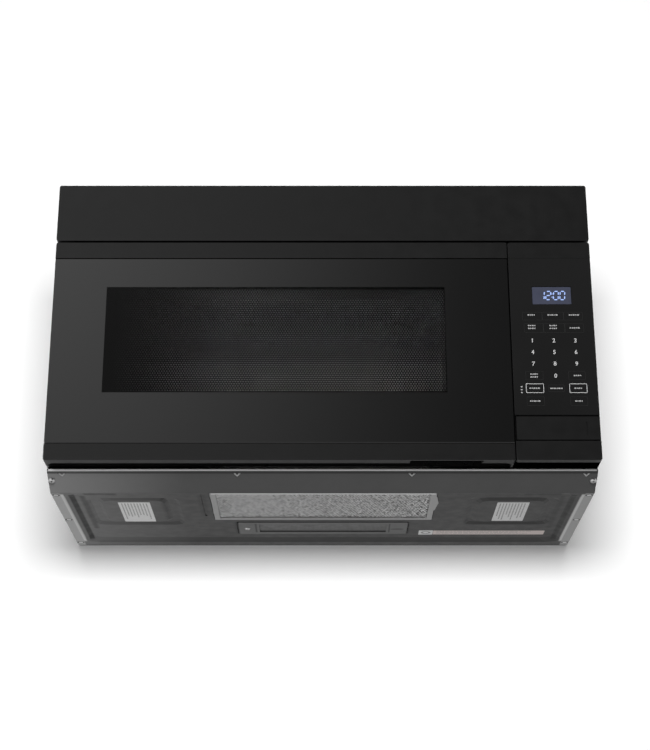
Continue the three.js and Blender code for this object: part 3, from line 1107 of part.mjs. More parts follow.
// Expanded aluminium: staggered diamond openings in a flat sheet held in the frame's groove.
function greaseMesh() {
  const f = FILTER;
  const z0 = PAN_FLOOR - 1.5 + 2 + CLEAR;
  const inset = 2 + CLEAR;
  const sheet = outline([[f.x0 + inset, f.y0 + inset], [f.x1 - inset, f.y0 + inset],
    [f.x1 - inset, f.y1 - inset], [f.x0 + inset, f.y1 - inset]]);
  const px = (f.x1 - f.x0 - 2 * f.rim - 4) / LATTICE.cols;
  const py = (f.y1 - f.y0 - 2 * f.rim - 2) / LATTICE.rows;
  for (let j = 0; j < 2 * LATTICE.rows - 1; j++) {
    const shifted = j % 2;
    for (let i = 0; i < LATTICE.cols - shifted; i++) {
      const x = f.x0 + f.rim + 2 + (i + 0.5 + shifted / 2) * px;
      const y = f.y0 + f.rim + 1 + (j + 1) * py / 2;
      const [w, h] = [px / 2 - LATTICE.strand, py / 2 - LATTICE.strand];
      const hole = new THREE.Path();
      hole.moveTo(x - w, y).lineTo(x, y - h).lineTo(x + w, y).lineTo(x, y + h).closePath();
      sheet.holes.push(hole);
    }
  }
  return prism(sheet, 'z', z0, z0 + f.thick - 4 - 2 * CLEAR);
}

function lampCover() {
  const c = LAMP_COVER;
  const l = LAMP_LENS;
  const z0 = PAN_FLOOR - 1;
  const plate = prism(roundedRect(c.x0, c.x1, c.y0, c.y1, 3), 'z', z0, z0 + c.wall, 2);
  const rim = block(l.x0 - 2, l.x1 + 2, l.y0 - 2, l.y1 + 2, z0, z0 + 6);
  const lensBay = block(l.x0 - CLEAR, l.x1 + CLEAR, l.y0 - CLEAR, l.y1 + CLEAR, z0 + 1.5, z0 + 7);
  const window = block(l.x0 + 3, l.x1 - 3, l.y0 + 3, l.y1 - 3, z0 - 1, z0 + 7);
  const screw = rod('z', c.x0 + 14, (c.y0 + c.y1) / 2, 2.2, z0 - 1, z0 + 3, 8);
  const tabs = hangers(c.x1, 1, [c.y0 + 12, c.y1 - 12]);
  const risers = [c.y0 + 12, c.y1 - 12].map((y) => block(
    c.x1 - 4, c.x1 - 1, y - TAB.width / 2, y + TAB.width / 2, z0, SHEET_TOP + CLEAR + TAB.thick));
  return join(cut(join(plate, rim), lensBay, window, screw), ...tabs, ...risers);
}

function lampLens() {
  const l = LAMP_LENS;
  const z0 = PAN_FLOOR - 1 + 1.5 + CLEAR;
  return block(l.x0, l.x1, l.y0, l.y1, z0, z0 + l.thick);
}

const LAMP_HOUSING = {
  x0: LAMP_COVER.x0 - 9, x1: LAMP_COVER.x1 + 14.5, y0: LAMP_COVER.y0 - 8, y1: LAMP_COVER.y1 + 8, top: 14,
};
const COOKTOP_LAMP = { z: 1, socket: 10, x0: -80, x1: -45, foot: [-75, -50], bulb: -46 };

function lampHousing() {
  const h = LAMP_HOUSING;
  const z0 = SHEET_TOP + CLEAR;
  const box = block(h.x0, h.x1, h.y0, h.y1, z0, h.top);
  const inside = block(h.x0 + SHEET, h.x1 - SHEET, h.y0 + SHEET, h.y1 - SHEET, z0 - 1, h.top - SHEET);
  const ear = (x0, x1) => block(x0, x1, h.y0 + 20, h.y1 - 20, z0, z0 + SHEET);
  return join(cut(box, inside), ear(h.x0 - 12, h.x0 + 0.5), ear(h.x1 - 0.5, h.x1 + 12));
}

function cooktopLamp() {
  const h = LAMP_HOUSING;
  const y = (h.y0 + h.y1) / 2;
  const l = COOKTOP_LAMP;
  const socket = rod('x', y, l.z, l.socket, l.x0, l.x1, 14);
  const foot = block(...l.foot, y - 8, y + 8, l.z + 4, h.top - SHEET - CLEAR);
  const bulb = revolve([[0, 0], [6, 0], [7, 10], [9.5, 24], [9, 36], [5.5, 42], [0, 44]], 14)
    .rotate(0, 90, 0).translate(l.bulb, y, l.z);
  return join(socket, foot, bulb);
}

// ---- small pieces on the cavity roof and the casing ----
const CUTOUT = { x: -160, y: 124, radius: 7, tall: 9, plate: [12, 6], tags: 10 };

function thermalCutout() {
  const c = CUTOUT;
  const z = DECK.z;
  const plate = block(c.x - c.plate[0], c.x + c.plate[0], c.y - c.plate[1], c.y + c.plate[1], z, z + 1);
  const tags = block(c.x - 1, c.x + 1, c.y - c.tags, c.y + c.tags, z + 4, z + c.tall - 1);
  return join(plate, rod('z', c.x, c.y, c.radius, z, z + c.tall, 12), tags);
}

// A small board on four posts, with a choke coil, a film capacitor and a fuse on its stand.
const NOISE_BOARD = { x: CAVITY.right + 7, y: 150, w: 88, d: 64, lift: 6, thick: 1.6, inset: 4 };

function noiseFilter() {
  const b = NOISE_BOARD;
  const z = DECK.z + b.lift;
  const top = z + b.thick - 0.2;
  const board = block(b.x, b.x + b.w, b.y, b.y + b.d, z, z + b.thick);
  const posts = [];
  for (const x of [b.x + b.inset, b.x + b.w - b.inset]) {
    for (const y of [b.y + b.inset, b.y + b.d - b.inset]) {
      posts.push(rod('z', x, y, 3, DECK.z, z + 0.5, 8));
    }
  }
  const coil = tube('z', b.x + 28, b.y + b.d / 2, 14, 7, top, top + 15, 12);
  const film = block(b.x + 52, b.x + 78, b.y + 12, b.y + 26, top, top + 16);
  const fuse = rod('y', b.x + 66, top + 5, 3.5, b.y + 36, b.y + 56, 8);
  const stand = block(b.x + 64, b.x + 68, b.y + 38, b.y + 54, top, top + 5);
  return join(board, ...posts, coil, film, fuse, stand);
}

function bayShelf() {
  const [x0, x1] = [CAVITY.right + CAVITY_WALL + CLEAR, CASE_HALF - SHEET - CLEAR];
  const top = DECK.z - CLEAR;
  const line = [[x0, top - 13], [x0, top], [x1, top], [x1, top - 13]];
  return prism(bentSheet(line, -SHEET), 'y', NOISE_BOARD.y - 30, NOISE_BOARD.y + 150);
}

function cordGland() {
  const g = CORD_HOLE;
  const top = FRONT_HEIGHT;
  const r = g.radius - CLEAR;
  const under = top - SHEET - CLEAR;
  return revolve([[9, top - 7], [r + 4, top - 7], [r + 4, under], [r, under], [r, top],
    [11, top], [9, top - 2], [9, top - 7]], g.sides).translate(g.x, g.y, 0);
}

// ---- the assembly ----
const door = new THREE.Group();
const tableDrive = new THREE.Group();
const hood = new THREE.Group();
const generator = new THREE.Group();
part.add(door, tableDrive, hood, generator);

node('base_pan', basePan(), blackPaint());
node('outer_cover', outerCover(), blackPaint());
node('rear_panel', rearPanel(), zinc());
node('rear_vent_cover', rearVentCover(), zinc());
node('vent_panel', ventPanel(), blackPlastic());
node('oven_cavity', ovenCavity(), enamel());
node('cord_gland', cordGland(), blackPlastic());
node('hinge_lower', lowerHinge(), zinc());
node('hinge_upper', upperHinge(), zinc());

node('control_bezel', controlBezel(), blackPlastic());
node('keypad_overlay', keypadOverlay(), glossGlass());
node('display_lens', displayLens(), finish(0x3c3e4b, 0.1));
node('access_strip', accessStrip(), blackPlastic());
node('control_board', controlBoard(), finish(0x2f5d3a, 0.6));
node('display_module', displayModule(), finish(0x22242c, 0.5));

node('door_frame', doorFrame(), blackPlastic(), door);
node('door_glass', doorGlass(), glossGlass(), door);
node('door_screen', doorScreen(), blackPaint(), door);
node('door_choke', doorChoke(), zinc(), door);
node('choke_cover', chokeCover(), blackPlastic(), door);
node('latch_lever', latchLever(), whitePlastic(), door);
node('latch_spring', latchSpring(), zinc(), door);
node('latch_board', latchBoard(), whitePlastic());
for (let i = 0; i < SWITCH.z.length; i++) {
  node(`interlock_switch_${i + 1}`, interlockSwitch(i), blackPlastic());
}

node('glass_tray', glassTray(), finish(0xcfdcda, 0.05), tableDrive);
node('drive_coupler', driveCoupler(), whitePlastic(), tableDrive);
node('turntable_motor', turntableMotor(), zinc(), tableDrive);
node('roller_ring', rollerRing(), whitePlastic(), tableDrive);
for (let i = 0; i < ROLLER.count; i++) {
  node(`roller_${i + 1}`, roller(i), whitePlastic(), tableDrive);
}

node('bay_floor', bayFloor(), zinc(), generator);
node('bay_shelf', bayShelf(), zinc(), generator);
node('waveguide', waveguide(), zinc(), generator);
node('waveguide_cover', waveguideCover(), finish(0xc9bfa4, 0.6), generator);
node('magnetron', magnetron(), zinc(), generator);
node('hv_transformer', transformer(), finish(0x6a5a4c, 0.6, 0.4), generator);
node('hv_capacitor', capacitor(), zinc(), generator);
node('capacitor_strap', capacitorStrap(), zinc(), generator);
node('hv_diode', highVoltageDiode(), blackPlastic(), generator);
node('cooling_fan', fanRotor(), blackPlastic(), generator);
node('fan_shroud', fanShroud(), zinc(), generator);
node('fan_motor', fanMotor(), copper(), generator);
node('cavity_lamp', cavityLamp(), whitePlastic(), generator);
node('noise_filter', noiseFilter(), finish(0x8a7a3a, 0.6), generator);
node('thermal_cutout', thermalCutout(), zinc(), generator);

node('blower_housing', blowerHousing(), zinc(), hood);
node('blower_motor', blowerMotor(), zinc(), hood);
node('blower_shaft', blowerShaft(), zinc(), hood);
node('blower_wheel_left', blowerWheel(-1), blackPlastic(), hood);
node('blower_wheel_right', blowerWheel(1), blackPlastic(), hood);
node('charcoal_filter', charcoalFilter(), finish(0x1b1b1b, 0.9), hood);
node('grease_filter_frame', greaseFrame(), finish(0xc8cacc, 0.35, 0.9), hood);
node('grease_filter_mesh', greaseMesh(), finish(0xb8babc, 0.4, 0.9), hood);
node('lamp_cover', lampCover(), blackPaint(), hood);
node('lamp_lens', lampLens(), finish(0x8f9496, 0.2), hood);
node('lamp_housing', lampHousing(), zinc(), hood);
node('cooktop_lamp', cooktopLamp(), finish(0xeeeae0, 0.2), hood);

part.position.set(0, -DEPTH, -(FRONT_HEIGHT - PAN_DROP) / 2);
const placed = new THREE.Group();
placed.add(part);

export default placed;
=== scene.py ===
"""Looks of the over the range microwave: materials, printed keypad, filter mesh, stickers and screws.

Places are written in millimetres in the bench frame (X right, Y back from the door's face,
Z up from the door's lower edge) and turned into the frame's metres by at().
"""
import math
import random

import bmesh
import bpy
from mathutils import Matrix, Vector


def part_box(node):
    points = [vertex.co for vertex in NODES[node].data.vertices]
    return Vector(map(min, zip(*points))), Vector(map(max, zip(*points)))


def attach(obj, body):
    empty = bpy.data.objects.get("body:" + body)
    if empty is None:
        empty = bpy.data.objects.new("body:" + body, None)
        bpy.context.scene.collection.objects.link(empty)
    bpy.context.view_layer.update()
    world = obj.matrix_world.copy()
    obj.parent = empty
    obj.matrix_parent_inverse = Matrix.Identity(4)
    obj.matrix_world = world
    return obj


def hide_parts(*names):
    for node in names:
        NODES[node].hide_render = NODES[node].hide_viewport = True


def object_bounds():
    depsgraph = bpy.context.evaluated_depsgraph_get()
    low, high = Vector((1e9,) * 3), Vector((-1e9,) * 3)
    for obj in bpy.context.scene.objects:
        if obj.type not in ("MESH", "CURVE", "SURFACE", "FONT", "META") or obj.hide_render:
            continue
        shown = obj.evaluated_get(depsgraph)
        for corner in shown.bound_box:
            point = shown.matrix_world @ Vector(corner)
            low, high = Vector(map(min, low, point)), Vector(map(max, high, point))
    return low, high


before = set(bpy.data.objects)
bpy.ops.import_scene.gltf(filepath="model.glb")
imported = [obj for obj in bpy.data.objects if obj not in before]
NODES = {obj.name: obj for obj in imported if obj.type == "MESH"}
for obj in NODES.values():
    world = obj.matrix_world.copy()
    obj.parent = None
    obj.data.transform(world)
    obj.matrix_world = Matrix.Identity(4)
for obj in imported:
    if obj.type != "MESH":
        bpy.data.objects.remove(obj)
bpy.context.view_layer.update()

MM = 0.001
DOOR_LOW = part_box("door_frame")[0]
BENCH = Vector((0, DOOR_LOW.y, DOOR_LOW.z))


def at(x, y, z):
    """The frame's place of a point given in bench millimetres."""
    return BENCH + Vector((x, y, z)) * MM


def new_object(name, data):
    obj = bpy.data.objects.new(name, data)
    bpy.context.scene.collection.objects.link(obj)
    return obj


# ---- camera, stage and light ----
LENS_FOCUS_PX = 1725.6
FRAME_HEIGHT_PX = 750
CENTRE_ROW_PX = 297.9
SENSOR = 36
PITCH = math.radians(22.1034)
CAMERA_AT = (3.4, -2248.1, -676.0)
NEAREST_VIEW = 0.05


def make_camera():
    data = bpy.data.cameras.new("camera")
    data.sensor_width = SENSOR
    data.lens = LENS_FOCUS_PX * SENSOR / FRAME_HEIGHT_PX
    data.shift_y = (CENTRE_ROW_PX - FRAME_HEIGHT_PX / 2) / FRAME_HEIGHT_PX
    data.clip_start = NEAREST_VIEW
    camera = new_object("camera", data)
    camera.location = at(*CAMERA_AT)
    camera.rotation_euler = (math.pi / 2 + PITCH, 0, 0)
    bpy.context.scene.camera = camera


def area_lamp(name, place, target, size, watts):
    data = bpy.data.lights.new(name, "AREA")
    data.shape = "RECTANGLE"
    data.size, data.size_y = size
    data.energy = watts
    lamp = new_object(name, data)
    lamp.location = place
    lamp.rotation_euler = (Vector(target) - Vector(place)).to_track_quat("-Z", "Y").to_euler()
    lamp.visible_glossy = False


class Tree:
    """A short way to make and link shader nodes."""

    def __init__(self, owner):
        owner.use_nodes = True
        self.nodes = owner.node_tree.nodes
        self.links = owner.node_tree.links
        self.nodes.clear()

    def add(self, kind, inputs=None, **settings):
        """Makes the shader node of that kind, and links or fills its inputs."""
        node = self.nodes.new("ShaderNode" + kind)
        for key, value in settings.items():
            setattr(node, key, value)
        for key, value in (inputs or {}).items():
            self.put(node.inputs[key], value)
        return node

    def put(self, socket, value):
        if isinstance(value, bpy.types.NodeSocket):
            self.links.new(value, socket)
        else:
            socket.default_value = value

    def math(self, operation, a, b=0.0):
        return self.add("Math", {0: a, 1: b}, operation=operation).outputs[0]

    def times(self, a, b):
        return self.math("MULTIPLY", a, b)

    def span(self, value, start, end, at_start, at_end, **settings):
        """Goes from at_start to at_end while value goes from start to end, and stays level outside."""
        inputs = {0: value, 1: start, 2: end, 3: at_start, 4: at_end}
        return self.add("MapRange", inputs, **settings).outputs[0]

    def ramp(self, factor, low, high, colour_low=(0, 0, 0, 1), colour_high=(1, 1, 1, 1)):
        node = self.add("ValToRGB", {0: factor})
        first, last = node.color_ramp.elements
        first.position, first.color = low, colour_low
        last.position, last.color = high, colour_high
        return node.outputs[0]


# How bright the studio is for each kind of ray. What shiny faces mirror is bright at the left.
AMBIENT = 0.2
REFLECTED_LEFT = 0.86
REFLECTED_RIGHT = 0.06
REFLECTED_LEVEL = 0.68  # share left for directions a little above the horizon
REFLECTED_HIGH = 1.08  # share left for steep directions
REFLECTED_BEHIND = 0.5  # share left behind the wall
THROUGH_GLASS = 0.3
SEEN = 1.0


def make_world():
    """A studio whose brightness differs for what is lit, mirrored, seen through glass or seen directly."""
    world = bpy.data.worlds.new("studio")
    bpy.context.scene.world = world
    tree = Tree(world)
    path = tree.add("LightPath")
    direction = tree.add("TexCoord").outputs["Generated"]
    axes = tree.add("SeparateXYZ", {0: direction})
    right, back, up = axes.outputs
    across = tree.span(right, -0.2, 0.12, 0.0, 1.0, interpolation_type="SMOOTHSTEP")
    ahead = tree.span(back, -0.3, -0.75, 0.0, 1.0)
    shade = tree.times(across, ahead)
    drop = tree.times(shade, REFLECTED_LEFT - REFLECTED_RIGHT)
    sideways = tree.math("SUBTRACT", REFLECTED_LEFT, drop)
    rise = tree.span(up, 0.28, 0.41, REFLECTED_LEVEL, REFLECTED_HIGH)
    fall = tree.span(up, 0.0, 0.2, 1.0, REFLECTED_LEVEL)
    behind = tree.span(back, -0.2, 0.3, 1.0, REFLECTED_BEHIND)
    upright = tree.times(sideways, tree.math("MAXIMUM", rise, fall))
    glossy_level = tree.times(upright, behind)

    def white(strength):
        return tree.add("Background", {0: (1, 1, 1, 1), 1: strength}).outputs[0]

    light = white(AMBIENT)
    for kind, level in (("Is Transmission Ray", THROUGH_GLASS), ("Is Glossy Ray", glossy_level),
                        ("Is Camera Ray", SEEN)):
        mixed = {0: path.outputs[kind], 1: light, 2: white(level)}
        light = tree.add("MixShader", mixed).outputs[0]
    tree.add("OutputWorld", {0: light})


CARD_WHITE = (0.95, 0.95, 0.95, 1)
CARD_GLOW = 0.045  # brings the lit card up to plain white, for the camera only
STAGE_HALF = 6
WALL_GAP = 0.003
FLOOR_BELOW = 1.37


def backdrop_material(name):
    """White card that is seen from its front only and lets all other light through."""
    material = bpy.data.materials.new(name)
    tree = Tree(material)
    path = tree.add("LightPath")
    geometry = tree.add("NewGeometry")
    card = tree.add("BsdfDiffuse", {"Color": CARD_WHITE})
    light = tree.add("Emission", {"Color": (1, 1, 1, 1), "Strength": CARD_GLOW})
    lit = tree.add("AddShader", {0: card.outputs[0], 1: light.outputs[0]})
    clear = tree.add("BsdfTransparent")
    front = tree.math("SUBTRACT", 1.0, geometry.outputs["Backfacing"])
    shown = tree.times(path.outputs["Is Camera Ray"], front)
    mix = tree.add("MixShader", {0: shown, 1: clear.outputs[0], 2: lit.outputs[0]})
    tree.add("OutputMaterial", {0: mix.outputs[0]})
    return material


def flat_square(name, centre, turn):
    half = STAGE_HALF
    mesh = bpy.data.meshes.new(name)
    corners = [(-half, -half, 0), (half, -half, 0), (half, half, 0), (-half, half, 0)]
    mesh.from_pydata(corners, [], [(0, 1, 2, 3)])
    mesh.materials.append(backdrop_material(name + "_card"))
    square = new_object(name, mesh)
    square.matrix_world = Matrix.Translation(centre) @ turn


def make_stage():
    """The wall behind the oven, a floor far below it, and three soft lamps."""
    facing_front = Matrix.Rotation(math.pi / 2, 4, "X")
    low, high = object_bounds()
    flat_square("wall", (0, high.y + WALL_GAP, 0), facing_front)
    flat_square("floor", (0, 0, low.z - FLOOR_BELOW), Matrix.Identity(4))
    middle = (0, -0.2, 0)
    area_lamp("key", (0, -3.42, 0.1), middle, (1.1, 0.64), 109)
    area_lamp("under", (-1.2, -0.25, -2.4), middle, (1.4, 0.5), 16)
    area_lamp("behind", (1.2, 3.4, 1.4), middle, (2.0, 2.0), 60)


# ---- materials ----
SOCKETS = {"colour": "Base Color", "roughness": "Roughness", "metallic": "Metallic", "coat": "Coat Weight",
           "coat_roughness": "Coat Roughness", "transmission": "Transmission Weight", "ior": "IOR",
           "glow": "Emission Color", "glow_strength": "Emission Strength", "specular": "Specular IOR Level"}
NOISE_RANGE = (0.3, 0.7)


class Finish(Tree):
    """One principled material, textured in object space, in millimetres."""

    def __init__(self, name, **values):
        self.material = bpy.data.materials.new(name)
        super().__init__(self.material)
        self.shader = self.add("BsdfPrincipled")
        self.add("OutputMaterial", {0: self.shader.outputs[0]})
        self.place = self.add("TexCoord").outputs["Object"]
        self.millimetres = self.scaled(1000, 1000, 1000)
        self.bumps = None
        for key, value in values.items():
            self.set(key, value)

    def set(self, key, value):
        if key in ("colour", "glow") and not isinstance(value, bpy.types.NodeSocket):
            value = (*value, 1)
        self.put(self.shader.inputs[SOCKETS[key]], value)

    def scaled(self, x, y, z):
        return self.add("Mapping", {"Vector": self.place, "Scale": (x, y, z)}).outputs[0]

    def noise(self, size, detail=2.0, stretch=(1, 1, 1)):
        """Cloudy values with features of about that many millimetres, longer along a stretched axis."""
        where = self.scaled(*(1000 / factor for factor in stretch))
        values = {"Vector": where, "Scale": 1 / size, "Detail": detail}
        return self.add("TexNoise", values).outputs[0]

    def axes(self):
        """X right, Y back and Z up in bench millimetres."""
        offset = self.add("Mapping", {"Vector": self.place, "Location": tuple(-BENCH)}).outputs[0]
        big = self.add("VectorMath", {0: offset, 1: (1000, 1000, 1000)}, operation="MULTIPLY")
        return self.add("SeparateXYZ", {0: big.outputs[0]}).outputs

    def roughen(self, factor, low, high):
        """Moves the roughness between low and high with a factor, most of which lies within NOISE_RANGE."""
        self.set("roughness", self.span(factor, *NOISE_RANGE, low, high))

    def blend(self, factor, first, second):
        node = self.add("Mix", data_type="RGBA")
        self.put(node.inputs[0], factor)
        for socket, colour in ((node.inputs[6], first), (node.inputs[7], second)):
            self.put(socket, colour if isinstance(colour, bpy.types.NodeSocket) else (*colour, 1))
        return node.outputs[2]

    def mix(self, factor, first, second):
        """Colours the surface between two colours with a factor."""
        self.set("colour", self.blend(factor, first, second))

    def relief(self, height, depth, strength=1.0):
        """Adds a bump whose full height is depth millimetres."""
        inputs = {"Height": height, "Distance": depth * MM, "Strength": strength}
        if self.bumps:
            inputs["Normal"] = self.bumps
        self.bumps = self.add("Bump", inputs).outputs[0]
        self.put(self.shader.inputs["Normal"], self.bumps)

    def pebbled(self):
        """The fine orange peel of baked paint over the slight waves of its sheet."""
        self.relief(self.noise(1.1, 1), 0.035, 0.6)
        self.relief(self.noise(90, 2), 0.25, 0.5)

    def spangled(self, streaks, size, share):
        """Streaks mixed with that share of zinc crystals of about that size."""
        cells = self.add("TexVoronoi", {"Vector": self.millimetres, "Scale": 1 / size})
        patches = self.add("SeparateColor", {0: cells.outputs["Color"]}).outputs[0]
        streaked = self.times(streaks, 1 - share)
        return self.math("ADD", streaked, self.times(patches, share))


def between(tree, value, low, high, soft=0.3):
    """1 where value lies between low and high, and 0 elsewhere."""
    after = tree.span(value, low - soft, low + soft, 0, 1)
    before = tree.span(value, high - soft, high + soft, 1, 0)
    return tree.times(after, before)


def grey(level):
    return (level, level, level)


def black_paint(name, level=0.03, specular=0.5, rougher=0.0):
    """Baked black enamel on steel: slightly pebbled, with a soft sheen."""
    paint = Finish(name, specular=specular)
    cloud = paint.noise(60, 3)
    paint.mix(cloud, grey(level * 0.92), grey(level * 1.1))
    paint.roughen(paint.noise(14, 3), 0.36 + rougher, 0.46 + rougher)
    paint.pebbled()
    return paint.material


def moulded(name, level, roughness, tint=(1, 1, 1), specular=0.5):
    """Moulded plastic with a fine spark-eroded grain."""
    plastic = Finish(name, specular=specular)
    cloud = plastic.noise(45, 2)
    colour = [tuple(level * part * gain for part in tint) for gain in (0.94, 1.06)]
    plastic.mix(cloud, *colour)
    plastic.roughen(plastic.noise(20, 2), roughness - 0.04, roughness + 0.05)
    plastic.relief(plastic.noise(0.5, 1), 0.03, 0.7)
    return plastic.material


def front_glass(name):
    """Printed black glass, polished, with a trace of wiping marks."""
    glass = Finish(name, specular=0.6, coat=1.0, coat_roughness=0.02)
    cloud = glass.noise(120, 2)
    glass.mix(cloud, grey(0.006), grey(0.01))
    glass.roughen(glass.noise(60, 4, (1, 3, 1)), 0.05, 0.11)
    glass.relief(glass.noise(160, 1), 0.12, 0.3)
    return glass.material


def bare_metal(name, level, roughness, grain, tint=(1, 1, 1), stretch=(1, 1, 1), spangle=0.0):
    """Rolled or plated sheet: directional streaks, and the crystals of a zinc coat where spangle is set."""
    metal = Finish(name, metallic=1.0)
    streaks = metal.noise(grain, 4, stretch)
    dark = tuple(level * part * 0.88 for part in tint)
    light = tuple(level * part * 1.1 for part in tint)
    factor = metal.spangled(streaks, spangle, 0.5) if spangle else streaks
    metal.mix(factor, dark, light)
    metal.roughen(factor, roughness - 0.07, roughness + 0.09)
    metal.relief(streaks, 0.02, 0.5)
    return metal.material


def clear_glass(name):
    """Tempered glass with a faint green tint, a little worn."""
    glass = Finish(name, colour=(0.93, 0.96, 0.95), transmission=1.0, ior=1.47)
    glass.roughen(glass.noise(30, 2), 0.015, 0.045)
    glass.relief(glass.noise(40, 1), 0.05, 0.2)
    return glass.material


def charcoal(name):
    """Carbon granules behind a coarse net."""
    carbon = Finish(name, specular=0.3)
    grains = carbon.add("TexVoronoi", {"Vector": carbon.millimetres, "Scale": 0.4})
    lumps = grains.outputs["Distance"]
    carbon.mix(lumps, grey(0.035), grey(0.008))
    carbon.roughen(lumps, 0.6, 0.85)
    carbon.relief(carbon.math("SUBTRACT", 1.0, lumps), 0.9, 0.8)
    return carbon.material


def circuit_board(name):
    """Green lacquer over copper tracks."""
    board = Finish(name, specular=0.5, coat=0.4, coat_roughness=0.2)
    tracks = board.add("TexBrick", {"Vector": board.millimetres, "Scale": 0.12, "Mortar Size": 0.04})
    board.mix(tracks.outputs["Fac"], (0.02, 0.11, 0.045), (0.05, 0.2, 0.08))
    board.roughen(board.noise(15, 2), 0.3, 0.4)
    board.relief(tracks.outputs["Fac"], 0.05, 0.6)
    return board.material


def laminations(name):
    """Stacked transformer plates with varnished copper showing as a warm tint."""
    stack = Finish(name, metallic=0.7)
    plates = stack.add("TexWave", {"Vector": stack.millimetres, "Scale": 0.5, "Distortion": 0.3},
                       bands_direction="Y").outputs[1]
    stack.mix(plates, (0.09, 0.075, 0.06), (0.26, 0.2, 0.15))
    stack.roughen(stack.noise(8, 2), 0.4, 0.55)
    stack.relief(plates, 0.15, 0.8)
    return stack.material


def mica(name):
    """Pressed mica with its pale flakes."""
    sheet = Finish(name, specular=0.6)
    flakes = sheet.add("TexVoronoi", {"Vector": sheet.millimetres, "Scale": 0.15}).outputs["Color"]
    patches = sheet.add("SeparateColor", {0: flakes}).outputs[0]
    sheet.mix(patches, (0.42, 0.38, 0.3), (0.58, 0.54, 0.44))
    sheet.roughen(patches, 0.3, 0.45)
    sheet.relief(patches, 0.03, 0.5)
    return sheet.material


# ---- mesh pieces ----
def around(count):
    """The pairs of neighbours round a closed loop."""
    return [(i, (i + 1) % count) for i in range(count)]


def put_on(name, data, body, material):
    """Makes an object of the mesh that rides on a body, with the given material."""
    data.materials.append(material)
    obj = new_object(name, data)
    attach(obj, body)
    return obj


class Piece:
    """Collects faces in bench millimetres and becomes one object that rides on a body."""

    def __init__(self, name, material, body="chassis", slot="black_paint"):
        self.name, self.body, self.slot, self.material = name, body, slot, material
        self.mesh = bmesh.new()

    def points(self, places):
        return [self.mesh.verts.new(at(*place)) for place in places]

    def join(self, one, other, back=False):
        """Faces between two loops of the same number of vertices."""
        for i, j in around(len(one)):
            corners = [one[i], one[j], other[j], other[i]]
            self.mesh.faces.new(corners[::-1] if back else corners)

    def plate(self, outline, axis, near, far):
        """A flat outline made solid between two levels of one axis (0 X, 1 Y, 2 Z)."""
        first, last = [self.points((*point[:axis], level, *point[axis:]) for point in outline)
                       for level in (near, far)]
        self.mesh.faces.new(first)
        self.mesh.faces.new(last[::-1])
        self.join(first, last, back=True)

    def finish(self, replaces=()):
        bmesh.ops.recalc_face_normals(self.mesh, faces=self.mesh.faces)
        data = bpy.data.meshes.new(self.name)
        self.mesh.to_mesh(data)
        self.mesh.free()
        obj = put_on(self.name, data, self.body, self.material)
        if replaces:
            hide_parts(*replaces)
        return obj


def rounded(u0, u1, v0, v1, radius, steps=4):
    """The corners of a rounded rectangle, anticlockwise."""
    points = []
    centres = ((u1 - radius, v0 + radius, -90), (u1 - radius, v1 - radius, 0),
               (u0 + radius, v1 - radius, 90), (u0 + radius, v0 + radius, 180))
    for cu, cv, start in centres:
        for i in range(steps + 1):
            angle = math.radians(start + 90 * i / steps)
            points.append((cu + radius * math.cos(angle), cv + radius * math.sin(angle)))
    return points


def circle(u, v, radius, steps=24):
    """The corners of a round outline, anticlockwise."""
    turn = 2 * math.pi / steps
    return [(u + radius * math.cos(i * turn), v + radius * math.sin(i * turn)) for i in range(steps)]


# ---- printed keypad ----
PRINT_LIFT = 0.12
PRINT_WEIGHT = 0.09
PRINT_ROOT = 0.05  # how deep printed shapes reach into the panel
KEY_COLUMNS = (292, 322, 352)
KEY_ROWS = (172.7, 155.6, 138.5)
ZERO_KEY = (322, 120.8)
DIGIT_SIZE = 8.37


def printed_digit(digit, x, z, material):
    """A digit printed on the keypad, as a flat mesh just proud of it."""
    name = "key_digit_" + digit
    curve = bpy.data.curves.new(name, "FONT")
    curve.body = digit
    curve.size = DIGIT_SIZE * MM
    curve.align_x, curve.align_y = "CENTER", "CENTER"
    curve.extrude = PRINT_LIFT / 2 * MM
    curve.resolution_u = 3
    curve.offset = PRINT_WEIGHT * MM
    source = new_object(name, curve)
    source.matrix_world = Matrix.Translation(at(x, -PRINT_LIFT / 2, z)) @ Matrix.Rotation(math.pi / 2, 4, "X")
    bpy.context.view_layer.update()
    evaluated = source.evaluated_get(bpy.context.evaluated_depsgraph_get())
    data = bpy.data.meshes.new_from_object(evaluated)
    data.transform(source.matrix_world)
    data.name = name
    bpy.data.objects.remove(source)
    data.materials.clear()
    put_on(name, data, "chassis", material)


def bar(piece, x, z, width, height):
    """One flat printed bar centred on x and z."""
    radius = min(width, height) * 0.3
    outline = rounded(x - width / 2, x + width / 2, z - height / 2, z + height / 2, radius, 2)
    piece.plate(outline, 1, -PRINT_LIFT, PRINT_ROOT)


def ring_box(piece, x0, x1, z0, z1, line):
    """A printed outline: a rounded frame of even line width."""
    outer = rounded(x0, x1, z0, z1, BOX_RADIUS)
    inner = rounded(x0 + line, x1 - line, z0 + line, z1 - line, BOX_RADIUS - line)
    (front_out, front_in), (back_out, back_in) = [
        [piece.points((u, level, v) for u, v in loop) for loop in (outer, inner)]
        for level in (-PRINT_LIFT, PRINT_ROOT)]
    piece.join(front_out, front_in)
    piece.join(back_out, back_in, back=True)
    piece.join(front_out, back_out, back=True)
    piece.join(front_in, back_in)


